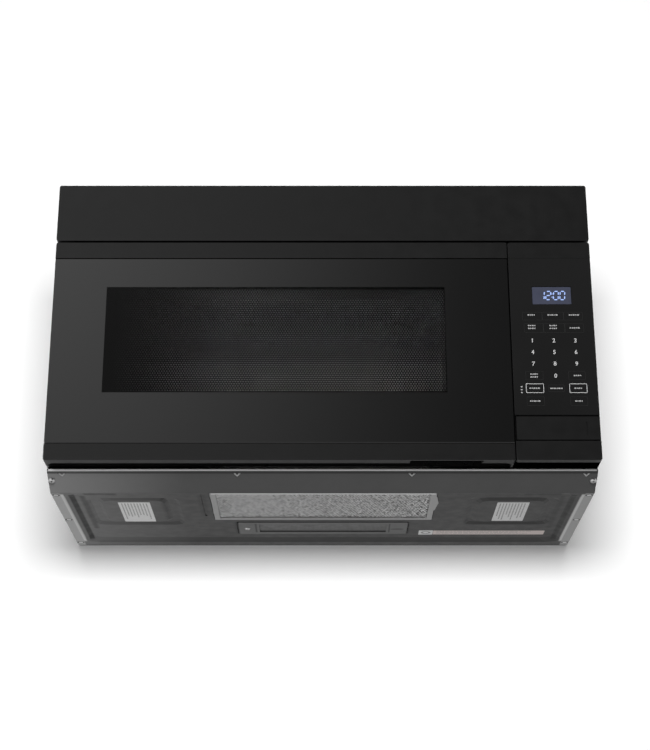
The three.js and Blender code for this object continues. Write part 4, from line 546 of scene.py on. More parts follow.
# Each key that isn't a digit carries rows of short bars in place of words.
BAR_WIDTHS = (2.6, 1.5, 3.2, 1.9, 2.3, 1.5)
BAR_HEIGHT, BAR_GAP, LINE_PITCH = 1.9, 0.8, 4.2
WORD_KEYS = (
    # x, z, number of bars, number of rows
    (292, 211.2, 4, 1), (322, 211.2, 5, 1), (352, 211.2, 5, 1),
    (292, 193.2, 4, 2), (322, 193.2, 4, 2), (352, 191.8, 5, 1),
    (292, 121.3, 4, 2), (352, 121.3, 4, 1),
    (292, 102.8, 5, 1), (322, 102.6, 6, 1), (352, 102.8, 4, 1),
    (292, 84.2, 5, 1), (352, 84.2, 4, 1), (274.2, 100.7, 1, 3),
)
BOX_RADIUS = 1.2
BRIGHT_LINE, FAINT_LINE = 0.7, 0.4
BRIGHT_BOXES = ((280.2, 304.8, 96, 109.5), (340, 364.5, 96, 109.5))
FAINT_BOXES = (
    (279.6, 307.4, 203.4, 215.5), (307.4, 337.4, 203.4, 215.5), (337.4, 363.9, 203.4, 215.5),
    (281.3, 308.4, 184.7, 198.3), (308.4, 338.2, 184.7, 198.3), (338.2, 364.7, 184.7, 198.3),
    (280.4, 304.8, 114.9, 127.7), (339.7, 363, 114.9, 127.7), (311.2, 333, 97.5, 107.8),
    (280.7, 304.9, 77.5, 90.5), (340.5, 364.2, 77.5, 90.5),
)


def legend(piece, x, z, count, lines):
    """Short bars that stand where a key's words would be."""
    used = [BAR_WIDTHS[(i + int(x)) % len(BAR_WIDTHS)] for i in range(count)]
    for line in range(lines):
        left = x - (sum(used) + BAR_GAP * (count - 1)) / 2
        level = z + ((lines - 1) / 2 - line) * LINE_PITCH
        for width in used:
            bar(piece, left + width / 2, level, width, BAR_HEIGHT)
            left += width + BAR_GAP


def make_keypad(digit_ink, word_ink, box_ink, faint_ink):
    for row, z in enumerate(KEY_ROWS):
        for column, x in enumerate(KEY_COLUMNS):
            printed_digit(str(row * len(KEY_COLUMNS) + column + 1), x, z, digit_ink)
    printed_digit("0", *ZERO_KEY, digit_ink)
    words = Piece("key_legends", word_ink, slot="keypad")
    for key in WORD_KEYS:
        legend(words, *key)
    words.finish()
    for name, boxes, line, box_material in (("key_boxes", BRIGHT_BOXES, BRIGHT_LINE, box_ink),
                                            ("key_outlines", FAINT_BOXES, FAINT_LINE, faint_ink)):
        piece = Piece(name, box_material, slot="keypad")
        for box in boxes:
            ring_box(piece, *box, line)
        piece.finish()


# ---- clock ----
SEGMENTS = {"0": "abcdef", "1": "bc", "2": "abged"}
CLOCK = {"x": 322.8, "z": 240.6, "height": 12.6, "width": 6.6, "pitch": 9.1, "bar": 1.4, "lean": 0.08,
         "front": -0.2, "back": 0.05, "pair_gap": 1.6, "dot": 0.75, "dot_rise": 2.4}
BAR_END = 1.25  # space at a bar's ends, in halves of its width


def clock_bars(piece, digit, left):
    """The lit segments of one seven-segment digit, each a hexagon leaning a little to the right."""
    height, width, half = CLOCK["height"], CLOCK["width"], CLOCK["bar"] / 2
    gap = half * BAR_END
    low = CLOCK["z"] - height / 2
    middle, top = low + height / 2, low + height
    ends = {
        "a": ((0, top), (width, top)), "g": ((0, middle), (width, middle)), "d": ((0, low), (width, low)),
        "f": ((0, middle), (0, top)), "b": ((width, middle), (width, top)),
        "e": ((0, low), (0, middle)), "c": ((width, low), (width, middle)),
    }
    for name in SEGMENTS[digit]:
        (u0, v0), (u1, v1) = ends[name]
        if v0 == v1:
            shape = [(u0 + gap, v0), (u0 + gap + half, v0 - half), (u1 - gap - half, v0 - half),
                     (u1 - gap, v0), (u1 - gap - half, v0 + half), (u0 + gap + half, v0 + half)]
        else:
            shape = [(u0, v0 + gap), (u0 + half, v0 + gap + half), (u0 + half, v1 - gap - half),
                     (u0, v1 - gap), (u0 - half, v1 - gap - half), (u0 - half, v0 + gap + half)]
        leaned = [(left + u + (v - low) * CLOCK["lean"], v) for u, v in shape]
        piece.plate(leaned, 1, CLOCK["front"], CLOCK["back"])


def make_clock(lit):
    """The lit time, 12:00."""
    piece = Piece("clock_digits", lit, slot="display")
    left = CLOCK["x"] - 2 * CLOCK["pitch"]
    for i, digit in enumerate("1200"):
        clock_bars(piece, digit, left + i * CLOCK["pitch"] + (CLOCK["pair_gap"] if i > 1 else 0))
    colon = left + 2 * CLOCK["pitch"]
    for side in (-1, 1):
        dot = circle(colon, CLOCK["z"] + side * CLOCK["dot_rise"], CLOCK["dot"], 12)
        piece.plate(dot, 1, CLOCK["front"], CLOCK["back"])
    piece.finish()


# ---- screws, lances, stickers ----
PAN_UNDER = -23.5
PAN_FLOOR = -19.5
BEVEL_FROM, BEVEL_TO = (40.5, -5), (80, -23.5)  # Y and Z

# Profiles of screw heads, in shares of the radius and of the rise.
PAN_HEAD = ((1.0, 0.0), (1.0, 0.25), (0.9, 0.62), (0.68, 0.9), (0.5, 1.0))
FLAT_HEAD = ((0.5, -7.0), (0.56, 0.0), (1.0, 0.0), (1.0, 0.4), (0.96, 1.0), (0.5, 1.0))
RECESS_ARM, RECESS_HALF, RECESS_TAPER = 0.4, 0.1, 0.7


def screw_head(name, place, normal, radius, rise, material, profile=PAN_HEAD, recess=1.6,
               body="chassis"):
    """A screw head with a cross recess."""
    mesh = bmesh.new()
    rings = [[mesh.verts.new((u, v, lift * rise)) for u, v in circle(0, 0, share * radius)]
             for share, lift in profile]
    for lower, upper in zip(rings, rings[1:]):
        for i, j in around(len(lower)):
            mesh.faces.new([lower[i], lower[j], upper[j], upper[i]])
    mesh.faces.new(rings[0][::-1])
    arm, half = RECESS_ARM * radius, RECESS_HALF * radius
    cross = [(arm, -half), (arm, half), (half, half), (half, arm), (-half, arm), (-half, half),
             (-arm, half), (-arm, -half), (-half, -half), (-half, -arm), (half, -arm), (half, -half)]
    top = [mesh.verts.new((u, v, rise)) for u, v in cross]
    floor = [mesh.verts.new((u * RECESS_TAPER, v * RECESS_TAPER, rise - recess)) for u, v in cross]
    top_edges = [mesh.edges.new((top[i], top[j])) for i, j in around(len(cross))]
    rim_edges = [mesh.edges.get((rings[-1][i], rings[-1][j])) for i, j in around(len(rings[-1]))]
    bmesh.ops.bridge_loops(mesh, edges=rim_edges + top_edges)
    for i, j in around(len(cross)):
        mesh.faces.new([top[i], top[j], floor[j], floor[i]])
    mesh.faces.new(floor)
    bmesh.ops.recalc_face_normals(mesh, faces=mesh.faces)
    turn = Vector(normal).normalized().to_track_quat("Z", "Y").to_matrix().to_4x4()
    mesh.transform(Matrix.Translation(at(*place)) @ turn @ Matrix.Scale(MM, 4))
    data = bpy.data.meshes.new(name)
    mesh.to_mesh(data)
    mesh.free()
    put_on(name, data, body, material)


BEVEL_DROP = (BEVEL_TO[1] - BEVEL_FROM[1]) / (BEVEL_TO[0] - BEVEL_FROM[0])


def bevel_level(y):
    """The height of the pan's bevelled front at that depth."""
    return BEVEL_FROM[1] + (y - BEVEL_FROM[0]) * BEVEL_DROP


BEVEL_SCREW = (374, 55.5)  # X either side of the middle, Y
FLANGE_SCREW_X = 373
FLANGE_SCREWS = (92, 225, 360)
WASHER_RADIUS = 5.4
WASHER_LEVELS = (PAN_UNDER - 0.1, PAN_UNDER + 0.1)
LAMP_SCREW = (-113, 287, -20.5)
REAR_FACE = 380
# X and Z of each, round the rear panel.
REAR_SCREWS = ((-372, -8), (-372, 130), (-372, 270), (-372, 404), (-186, 404), (0, 404), (186, 404),
               (372, 404), (372, 270), (372, 130), (372, -8))


def make_screws(bright, black, brightest):
    """Pan-head screws in the bevel and the lamp cover, and flat ones in the flanges and the back."""
    down, rearward = (0, 0, -1), (0, 1, 0)
    x, y = BEVEL_SCREW
    for side, sign in (("left", -1), ("right", 1)):
        screw_head("bevel_screw_" + side, (sign * x, y, bevel_level(y)), (0, BEVEL_DROP, -1), 4.8, 3.4,
                   bright, recess=2.2)
        for i, depth in enumerate(FLANGE_SCREWS):
            place = (sign * FLANGE_SCREW_X, depth, PAN_UNDER)
            screw_head(f"flange_screw_{side}_{i + 1}", place, down, 3.4, 0.25, brightest, FLAT_HEAD, 1.0)
            washer = Piece(f"flange_washer_{side}_{i + 1}", black)
            washer.plate(circle(*place[:2], WASHER_RADIUS), 2, *WASHER_LEVELS)
            washer.finish()
    screw_head("lamp_screw", LAMP_SCREW, down, 4.2, 2.2, bright, recess=1.4, body="lamp_flap")
    for i, (x, z) in enumerate(REAR_SCREWS):
        screw_head(f"rear_screw_{i + 1}", (x, REAR_FACE, z), rearward, 4.2, 0.2, black, FLAT_HEAD, 0.19)


LANCES = (-358.8, -117.6, 123.1, 363.4)
LANCE = {"y0": 42.5, "y1": 48.0, "half": 4.6, "stroke": 2.4, "proud": 0.9, "sunk": 0.2}


def make_lances(material):
    """Small V-shaped lances in the bevelled front of the pan."""
    y0, y1, stroke = LANCE["y0"], LANCE["y1"], LANCE["stroke"]
    for i, x in enumerate(LANCES):
        piece = Piece(f"pan_lance_{i + 1}", material)
        for side in (-1, 1):
            near = x + side * LANCE["half"]
            corners = [(near, y0), (near - side * stroke, y0), (x, y1 - stroke), (x, y1)]
            lower = piece.points((u, v, bevel_level(v) - LANCE["proud"]) for u, v in corners)
            upper = piece.points((u, v, bevel_level(v) + LANCE["sunk"]) for u, v in corners)
            piece.mesh.faces.new(lower)
            piece.mesh.faces.new(upper[::-1])
            piece.join(lower, upper, back=True)
        piece.finish()


# The pan's rolled edge. Its pale paint is a painted highlight, and worn gives the X where it starts to grow
# paler and where it is palest.
LIP = {"half": 377, "y": 39.3, "z": -2.3, "radius": 1.4, "worn": (-366, -376)}


def make_pan_lip(material):
    """The rolled front edge of the pan, seen in the gap behind the door."""
    piece = Piece("pan_lip", material)
    piece.plate(circle(LIP["y"], LIP["z"], LIP["radius"], 16), 0, -LIP["half"], LIP["half"])
    piece.finish()


SLOT_BAFFLE = (-176, -165, 99, 227)  # x from, x to, y from, y to
BAFFLE_LEVELS = (PAN_FLOOR + 1.1, PAN_FLOOR + 1.9)


def make_slot_baffle(material):
    """The baffle that closes the view up through the slot beside the filter."""
    piece = Piece("slot_baffle", material)
    piece.plate(rounded(*SLOT_BAFFLE, 2), 2, *BAFFLE_LEVELS)
    piece.finish()


# Stickers on the pan's floor: x from, x to, y from, y to.
LABELS = {"left": (-292.6, -247, 144, 250), "right": (250, 296, 144, 246)}
STRIP_CAP, STRIP_BAND = (145.5, 167, 303, 328), (167.4, 336, 304, 327)
STRIP_PRINT = (172, 330, 307, 325)
STRIP_RING = {"x": 156.2, "y": 315.5, "outer": 7.5, "inner": 4.2}
STICKER_LEVELS = (PAN_FLOOR - 0.15, PAN_FLOOR + 0.02)
INK_LEVELS = (PAN_FLOOR - 0.21, PAN_FLOOR - 0.13)
STICKER_RADIUS = 1.5
MARGIN_X, MARGIN_Y = 4, 6
ROW_WEIGHT = 1.7  # height of a printed bar
ROW_SHORTEST = 1.2  # bars shorter than this are left out
ROW_SPACE = 1.4  # between two bars of a row


def sticker(name, sides, material):
    """A thin label with round corners on the pan's floor."""
    piece = Piece(name, material)
    piece.plate(rounded(*sides, STICKER_RADIUS), 2, *STICKER_LEVELS)
    piece.finish()


def printed_rows(name, sides, material, pitch, seed):
    """Rows of plain bars on a sticker, running along its longer side."""
    chance = random.Random(seed)
    piece = Piece(name, material)
    x0, x1, y0, y1 = sides
    upright = y1 - y0 > x1 - x0
    (u0, u1), (v0, v1) = ((y0, y1), (x0, x1)) if upright else ((x0, x1), (y0, y1))
    v = v0
    while v + ROW_WEIGHT < v1:
        u = u0
        end = u1 - chance.uniform(0, 0.35) * (u1 - u0)
        while u < end:
            stop = min(u + chance.uniform(2.5, 8), end)
            if stop - u > ROW_SHORTEST:
                corners = [(u, v), (stop, v), (stop, v + ROW_WEIGHT), (u, v + ROW_WEIGHT)]
                piece.plate([(b, a) if upright else (a, b) for a, b in corners], 2, *INK_LEVELS)
            u = stop + ROW_SPACE
        v += pitch
    piece.finish()


def make_stickers(pale, printing, warm):
    """Two labels and a long strip with a ring mark, which carry plain bars in place of words."""
    for side, (x0, x1, y0, y1) in LABELS.items():
        sticker("sticker_" + side, (x0, x1, y0, y1), pale)
        inside = (x0 + MARGIN_X, x1 - MARGIN_X, y0 + MARGIN_Y, y1 - MARGIN_Y)
        printed_rows("sticker_print_" + side, inside, printing, pitch=4.4, seed=len(side))
    sticker("strip_cap", STRIP_CAP, pale)
    sticker("strip_band", STRIP_BAND, warm)
    ring = Piece("strip_ring", printing)
    outer, inner = (circle(STRIP_RING["x"], STRIP_RING["y"], STRIP_RING[edge]) for edge in ("outer", "inner"))
    for i, j in around(len(outer)):
        ring.plate([outer[i], outer[j], inner[j], inner[i]], 2, *INK_LEVELS)
    bmesh.ops.remove_doubles(ring.mesh, verts=ring.mesh.verts, dist=1e-6)
    ring.finish()
    printed_rows("strip_print", STRIP_PRINT, printing, pitch=6, seed=8)


# ---- grease filter ----
FILTER = ("grease_filter", "filter_aluminium")  # body and slot
MESH_LAYERS = (
    # level, pitch along X, slant (X per Y), strand width, lean of the ribbon, seed
    (-19.0, 4.3, -0.44, 3.1, 0.35, 1),
    (-18.8, 9.7, 0.44, 1.9, -0.35, 2),
)
MESH_AREA = {"x0": -152.0, "x1": 154.0, "y0": 91.5, "y1": 228.5}
STRAND_THICKNESS = 0.32
STRAND_STEP = 4.8
HEM = (86.2, 91.4, -23.1, -20.8)  # y from, y to, z from, z to
HEM_RADIUS = 1.1
HEM_ENDS = (-156, 158)


def strand(piece, chance, start, slant, level, width, lean):
    """One ribbon of the expanded sheet: it runs back at a slant as far as the frame."""
    area = MESH_AREA
    points = []
    for i in range(int((area["y1"] - area["y0"]) / STRAND_STEP) + 1):
        shift, lift, roll = chance.uniform(-0.5, 0.5), chance.uniform(-0.3, 0.3), chance.uniform(0.2, 1.3)
        y = area["y0"] + i * STRAND_STEP
        u = start + slant * (y - area["y0"]) + shift
        if area["x0"] < u < area["x1"]:
            points.append((u, y, level + lift, lean * roll))
    if len(points) < 2:
        return
    half, thick = width / 2, STRAND_THICKNESS / 2
    rings = [piece.points((u + a * half, y, z + a * rise + b * thick)
                          for a, b in ((-1, -1), (1, -1), (1, 1), (-1, 1))) for u, y, z, rise in points]
    for near, far in zip(rings, rings[1:]):
        piece.join(near, far)
    piece.mesh.faces.new(rings[0])
    piece.mesh.faces.new(rings[-1][::-1])


def make_filter_mesh(material, hem_material):
    """Expanded aluminium with strands slanted both ways, and the rolled hem of the frame in front of it."""
    area = MESH_AREA
    piece = Piece("filter_strands", material, *FILTER)
    for level, pitch, slant, width, lean, seed in MESH_LAYERS:
        chance = random.Random(seed)
        run = slant * (area["y1"] - area["y0"])
        first = area["x0"] - max(run, 0)
        for column in range(int((area["x1"] - area["x0"] + abs(run)) / pitch)):
            strand(piece, chance, first + (column + 0.5) * pitch, slant, level, width, lean)
    piece.finish(replaces=("grease_filter_mesh",))
    hem = Piece("filter_hem", hem_material, *FILTER)
    hem.plate(rounded(*HEM, HEM_RADIUS), 0, *HEM_ENDS)
    hem.finish()


# ---- window screen ----
SCREEN = {"x0": -320, "x1": 188, "z0": 81, "z1": 269, "front": 8.6, "thick": 0.6}
HOLES = {"x0": -306, "x1": 174, "z0": 95, "z1": 255, "pitch": 3.6, "radius": 1.25}
BORDER_LAP = 2.2  # how far the border reaches over the outer holes


def make_screen(material):
    """Perforated sheet: each hexagonal cell is a flat ring of faces round its hole."""
    piece = Piece("screen_sheet", material, "door", "screen")
    pitch, row_pitch = HOLES["pitch"], HOLES["pitch"] * math.sqrt(3) / 2
    cell = pitch / math.sqrt(3)
    y = SCREEN["front"] + 0.2
    corners = [math.radians(60 * i + 30) for i in range(6)]
    for row in range(int((HOLES["z1"] - HOLES["z0"]) / row_pitch)):
        for column in range(int((HOLES["x1"] - HOLES["x0"]) / pitch)):
            x = HOLES["x0"] + (column + 0.5 + 0.5 * (row % 2)) * pitch
            z = HOLES["z0"] + (row + 0.5) * row_pitch
            outer, inner = [piece.points((x + r * math.cos(a), y, z + r * math.sin(a)) for a in corners)
                            for r in (cell, HOLES["radius"])]
            piece.join(outer, inner)
    bmesh.ops.remove_doubles(piece.mesh, verts=piece.mesh.verts, dist=0.00005)
    obj = piece.finish()
    shell = obj.modifiers.new("thickness", "SOLIDIFY")
    shell.thickness = SCREEN["thick"] * MM
    border = Piece("screen_border", material, "door", "screen")
    left, right, top = HOLES["x0"] + BORDER_LAP, HOLES["x1"] - BORDER_LAP, HOLES["z1"] - BORDER_LAP
    outer = [(SCREEN[u], SCREEN[v]) for u, v in (("x0", "z0"), ("x1", "z0"), ("x1", "z1"), ("x0", "z1"))]
    inner = [(left, HOLES["z0"]), (right, HOLES["z0"]), (right, top), (left, top)]
    for i, j in around(len(outer)):
        border.plate([outer[i], outer[j], inner[j], inner[i]], 1, y - 0.1, y + 0.9)
    border.finish(replaces=("door_screen",))


# ---- the CAD nodes' materials ----
# How wide the painted shadow along the access strip's seams is.
SEAM_SHADE_WIDTH = 1.3
RECESS_SHADE_Y, RECESS_SHADE_Z = (11, 60), (-5, 2)  # painted shade in the recess behind the bezel's lower edge
SOFT_EDGE = 0.6
IN_SHADOW = grey(0.0004)


def dress(material, *names):
    """Gives CAD nodes one material."""
    for name in names:
        obj = NODES[name]
        obj.data.materials.clear()
        obj.data.materials.append(material)


def soften(name):
    """Rolls the sharp edges of a CAD node over, as pressed steel and moulded plastic have them."""
    obj = NODES[name]
    weld = obj.modifiers.new("weld", "WELD")
    weld.merge_threshold = 0.00002
    bevel = obj.modifiers.new("bevel", "BEVEL")
    bevel.width = SOFT_EDGE * MM
    bevel.segments = 2
    bevel.limit_method = "ANGLE"
    bevel.angle_limit = math.radians(32)
    bevel.harden_normals = True


def dress_nodes():
    """Every CAD node's material, from the front inwards."""
    dress(black_paint("black_paint"), "outer_cover")
    dress(moulded("front_plastic", 0.004, 0.36), "vent_panel", "door_frame")
    dress(bezel_plastic("bezel_plastic"), "control_bezel")
    dress(seamed_plastic("strip_plastic", "access_strip"), "access_strip")
    dress(smoked_front("black_glass"), "door_glass")
    dress(front_glass("keypad_film"), "keypad_overlay")
    dress(tinted_window("display_window"), "display_lens")
    dress(underside_paint("pan_paint"), "base_pan")
    dress(cover_paint("cover_paint"), "lamp_cover")
    dress(bare_metal("filter_metal", 0.47, 0.36, 8, stretch=(4, 1, 1)), "grease_filter_frame")
    dress(ribbed_lens("lamp_glass"), "lamp_lens")
    dress(moulded("lamp_white", 0.7, 0.3), "cooktop_lamp", "cavity_lamp")
    dress(bare_metal("zinc", 0.5, 0.36, 3, (1, 1, 1.02), spangle=14), "rear_vent_cover", "hinge_lower",
          "hinge_upper", "latch_spring", "turntable_motor", "bay_floor", "bay_shelf", "waveguide", "magnetron",
          "hv_capacitor", "capacitor_strap", "fan_shroud", "thermal_cutout", "blower_housing", "blower_motor",
          "blower_shaft", "lamp_housing")
    dress(zinc_with_edge_shade("rear_zinc"), "rear_panel")
    dress(oven_shell("oven_enamel"), "oven_cavity")
    dress(moulded("white_plastic", 0.62, 0.4, tint=(1, 0.99, 0.96)), "latch_lever", "latch_board",
          "drive_coupler", "roller_ring", "roller_1", "roller_2", "roller_3")
    dress(moulded("dark_plastic", 0.03, 0.45), "interlock_switch_1", "interlock_switch_2",
          "interlock_switch_3", "cord_gland", "cooling_fan", "hv_diode", "display_module",
          "blower_wheel_left", "blower_wheel_right")
    dress(black_paint("choke_paint", 0.02, 0.3), "door_choke")
    dress(moulded("choke_plastic", 0.15, 0.5), "choke_cover")
    dress(clear_glass("clear_glass"), "glass_tray")
    dress(charcoal("charcoal"), "charcoal_filter")
    dress(circuit_board("board"), "control_board", "noise_filter")
    dress(laminations("lamination"), "hv_transformer", "fan_motor")
    dress(mica("mica"), "waveguide_cover")
    for name in ("door_frame", "vent_panel", "control_bezel", "outer_cover"):
        soften(name)


def shadowed(plastic, lit, dark, light):
    """Front plastic with painted shade: it turns black, without sheen, where lit falls to 0."""
    cloud = plastic.blend(plastic.noise(45, 2), grey(dark), grey(light))
    plastic.set("specular", plastic.times(lit, 0.5))
    plastic.mix(lit, IN_SHADOW, cloud)
    plastic.roughen(plastic.noise(20, 2), 0.32, 0.41)
    plastic.relief(plastic.noise(0.5, 1), 0.03, 0.7)
    return plastic.material


def seamed_plastic(name, node):
    """Front plastic with a painted shadow along its edges, where the seam round the node lies."""
    plastic = Finish(name)
    low, high = [(corner - BENCH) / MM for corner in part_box(node)]
    x, _, z = plastic.axes()
    lit = plastic.times(between(plastic, z, low.z + SEAM_SHADE_WIDTH, high.z - SEAM_SHADE_WIDTH),
                        between(plastic, x, low.x + SEAM_SHADE_WIDTH, high.x + 5))
    return shadowed(plastic, lit, 0.003, 0.005)


def bezel_plastic(name):
    """Front plastic, with painted shade: black in the recess behind the bezel's lower edge."""
    plastic = Finish(name)
    _, y, z = plastic.axes()
    # painted shade in the recess
    recess = plastic.times(between(plastic, y, *RECESS_SHADE_Y, 1), between(plastic, z, *RECESS_SHADE_Z, 0.2))
    return shadowed(plastic, plastic.math("SUBTRACT", 1.0, recess), 0.0035, 0.0045)


def tinted_window(name):
    """Smoked window with the unlit display showing slate blue through it."""
    window = Finish(name, specular=0.4, coat=0.3, coat_roughness=0.04)
    cloud = window.noise(14, 2)
    window.mix(cloud, (0.038, 0.042, 0.064), (0.052, 0.057, 0.084))
    window.roughen(window.noise(8, 2), 0.1, 0.18)
    window.relief(window.noise(30, 1), 0.02, 0.3)
    return window.material


# Painted shade where the pan's folds, grooves, gaps and rear edge lie in shade: x from, x to, y from, y to,
# share of black.
PAN_PAINTED_SHADE = (
    (-336, -290, 94, 106, 0.6), (284, 336, 94, 106, 0.6), (-130.6, -127, 254, 320, 0.7),
    (127.5, 130.4, 254, 320, 0.7), (-176.5, -165.5, 103, 219, 0.4), (-343, -336, 110, 290, 0.65),
    (336, 343, 110, 290, 0.5), (-231, -224, 128, 240, 0.45), (-345, 345, 353, 377, 0.2),
    (-380, 380, 375.5, 382, 0.8),
)
# The turned sides, alike at the left and the right: painted shade in the groove at the step's foot, the paler
# flange whose level partly stands in for its sheen, and a painted highlight on the fold: |x| from, |x| to, y
# from, y to, level of grey.
SIDE_LIGHT_AND_SHADE = ((349.5, 357, 95, 346, 0.025), (367, 400, 84, 378, 0.5), (362.5, 367, 88, 352, 0.75))
# The black of the painted shade on the pan and on the lamp cover.
PAINTED_SHADE_BLACK = grey(0.02)
PAN_PAINTED_LIGHT = (-380, -190)  # X of the palest point of the painted light and of where it ends
FOLD_SHADE = (40.9, 43)  # Y of the dark line at the bevel's upper edge
# Painted shade on the lamp cover: the gaps beyond its sides, the ends of its lens and an oval dimple.
COVER_SIDES = (-125.4, 126.2)
COVER_LENS_Y = (260, 311)
COVER_LENS_ENDS = ((-101.5, -98.6), (98.9, 101))
COVER_OVAL = ((112, 11), (292, 6))  # centre and half width along X and along Y of the oval of painted shade


def cover_paint(name):
    """The lamp cover's paint, a little lighter, with painted shade at the ends of its lens, in an oval dimple
    near its right end and in the gaps beyond its sides.
    """
    paint = Finish(name, specular=0.3)
    x, y, _ = paint.axes()
    cloud = paint.noise(60, 3)
    colour = paint.blend(cloud, grey(0.145), grey(0.17))
    lens = between(paint, y, *COVER_LENS_Y, 1)
    ends = paint.math("ADD", *(between(paint, x, *end, 0.4) for end in COVER_LENS_ENDS))
    lens_end_shade = paint.times(lens, ends)
    shares = [paint.math("DIVIDE", paint.math("SUBTRACT", place, centre), half)
              for place, (centre, half) in zip((x, y), COVER_OVAL)]
    across, along = [paint.math("POWER", share, 2) for share in shares]
    oval_shade = paint.ramp(paint.math("ADD", across, along), 0.6, 1.0, (1, 1, 1, 1), (0, 0, 0, 1))
    # painted shade in the gaps beyond the cover's sides
    edge = paint.math("SUBTRACT", 1.0, between(paint, x, *COVER_SIDES, 0.4))
    for mask, share in ((lens_end_shade, 0.75), (oval_shade, 0.55), (edge, 0.85)):
        colour = paint.blend(paint.times(mask, share), colour, PAINTED_SHADE_BLACK)
    paint.set("colour", colour)
    paint.roughen(paint.noise(14, 3), 0.46, 0.58)
    paint.pebbled()
    return paint.material


def underside_paint(name):
    """Satin black on the pan with painted light and shade: paler towards the left and on the turned sides, a
    painted highlight on the sides' fold, painted shade in its folds, grooves and gaps.
    """
    paint = Finish(name, specular=0.25)
    x, y, _ = paint.axes()
    off_centre = paint.math("ABSOLUTE", x)
    cloud = paint.noise(60, 3)
    colour = paint.blend(cloud, grey(0.06), grey(0.072))
    # painted light: paler towards the left
    colour = paint.blend(paint.span(x, *PAN_PAINTED_LIGHT, 1.0, 0.0), colour, grey(0.19))
    for x0, x1, y0, y1, share in PAN_PAINTED_SHADE:
        shade_patch = paint.times(between(paint, x, x0, x1, 2), between(paint, y, y0, y1, 2))
        colour = paint.blend(paint.times(shade_patch, share), colour, PAINTED_SHADE_BLACK)
    for x0, x1, y0, y1, level in SIDE_LIGHT_AND_SHADE:
        band = paint.times(between(paint, y, y0, y1, 4), between(paint, off_centre, x0, x1, 1))
        colour = paint.blend(band, colour, grey(level))
    colour = paint.blend(between(paint, y, *FOLD_SHADE, 0.3), colour, grey(0.012))
    paint.set("colour", colour)
    paint.roughen(paint.noise(14, 3), 0.44, 0.56)
    paint.pebbled()
    return paint.material


def zinc_with_edge_shade(name):
    """Zinc plated sheet on its rear face, with painted shade elsewhere: its cut edges are black and without
    sheen, as in the shadow of the wall.
    """
    metal = Finish(name)
    face = between(metal, metal.axes()[1], REAR_FACE - 0.1, REAR_FACE + 10, 0.05)
    streaks = metal.noise(3, 4)
    factor = metal.spangled(streaks, 8, 0.6)
    zinc = metal.blend(factor, (0.45, 0.45, 0.46), (0.56, 0.56, 0.57))
    metal.mix(face, grey(0.02), zinc)
    metal.set("metallic", face)
    metal.set("specular", metal.times(face, 0.5))
    metal.roughen(factor, 0.34, 0.44)
    metal.relief(streaks, 0.02, 0.5)
    return metal.material


STRAND_SLANT = math.radians(24)
DASH_SCALE = (400, 130, 60)


def strand_metal(name):
    """Raw aluminium strands, with dark dashes painted as the shade of the openings between them."""
    metal = Finish(name, metallic=0.9)
    turned = metal.add("Mapping", {"Vector": metal.place, "Rotation": (0, 0, STRAND_SLANT)})
    drawn = metal.add("VectorMath", {0: turned.outputs[0], 1: DASH_SCALE}, operation="MULTIPLY")
    opening_shade = metal.add("TexNoise", {"Vector": drawn.outputs[0], "Scale": 1.0, "Detail": 1.0})
    share = metal.ramp(opening_shade.outputs[0], 0.32, 0.45)
    metal.mix(share, grey(0.3), grey(0.99))
    metal.roughen(metal.noise(6, 3), 0.33, 0.47)
    metal.relief(metal.noise(3, 3), 0.03, 0.5)
    return metal.material


def lip_highlight_paint(name):
    """Painted highlight on a rolled edge: pale glossy paint, palest at its left end."""
    paint = Finish(name, specular=0.6, metallic=0.5)
    cloud = paint.noise(160, 1, (4, 1, 1))
    end = paint.span(paint.axes()[0], *LIP["worn"], 0.0, 1.0)
    paint.mix(end, paint.blend(cloud, grey(0.52), grey(0.66)), grey(0.98))
    paint.roughen(paint.noise(160, 1), 0.3, 0.36)
    paint.relief(paint.noise(1.1, 1), 0.02, 0.5)
    return paint.material


def ink(name, level, tint=(1, 1, 1), strength=0.0):
    """Screen printing: matt and a little uneven. The clock's bars also glow."""
    layer = Finish(name, specular=0.3)
    cloud = layer.noise(3, 2)
    thin, thick = [tuple(level * gain * part for part in tint) for gain in (0.9, 1.05)]
    layer.mix(cloud, thin, thick)
    layer.roughen(cloud, 0.45, 0.6)
    layer.relief(layer.noise(0.4, 1), 0.01, 0.4)
    if strength:
        layer.set("glow", tint)
        layer.set("glow_strength", strength)
    return layer.material


def paper(name, tint):
    """Coated sticker paper."""
    sheet = Finish(name, specular=0.4)
    cloud = sheet.noise(9, 3)
    dull, clean = [tuple(gain * part for part in tint) for gain in (0.9, 1.04)]
    sheet.mix(cloud, dull, clean)
    sheet.roughen(cloud, 0.4, 0.55)
    sheet.relief(sheet.noise(2, 2), 0.02, 0.4)
    return sheet.material


# Faces of oven_cavity and the window left clear in door_glass, the part of the cavity's back wall with painted
# light, and the X over which the window's painted shade fades.
OVEN_INSIDE = {"x": (-346.2, 206.2), "z": (43.8, 291.2)}
OVEN_BACK_LIGHT = {"y": (330, 390), "z": (40, 271)}
CLEAR_WINDOW = {"x": (-304, 171.8), "z": (96.8, 253.5)}
SMOKED_WINDOW = {"x": (-303, 170.8), "z": (97.8, 252.5)}
WINDOW_SHADE_X = (-290, -130)


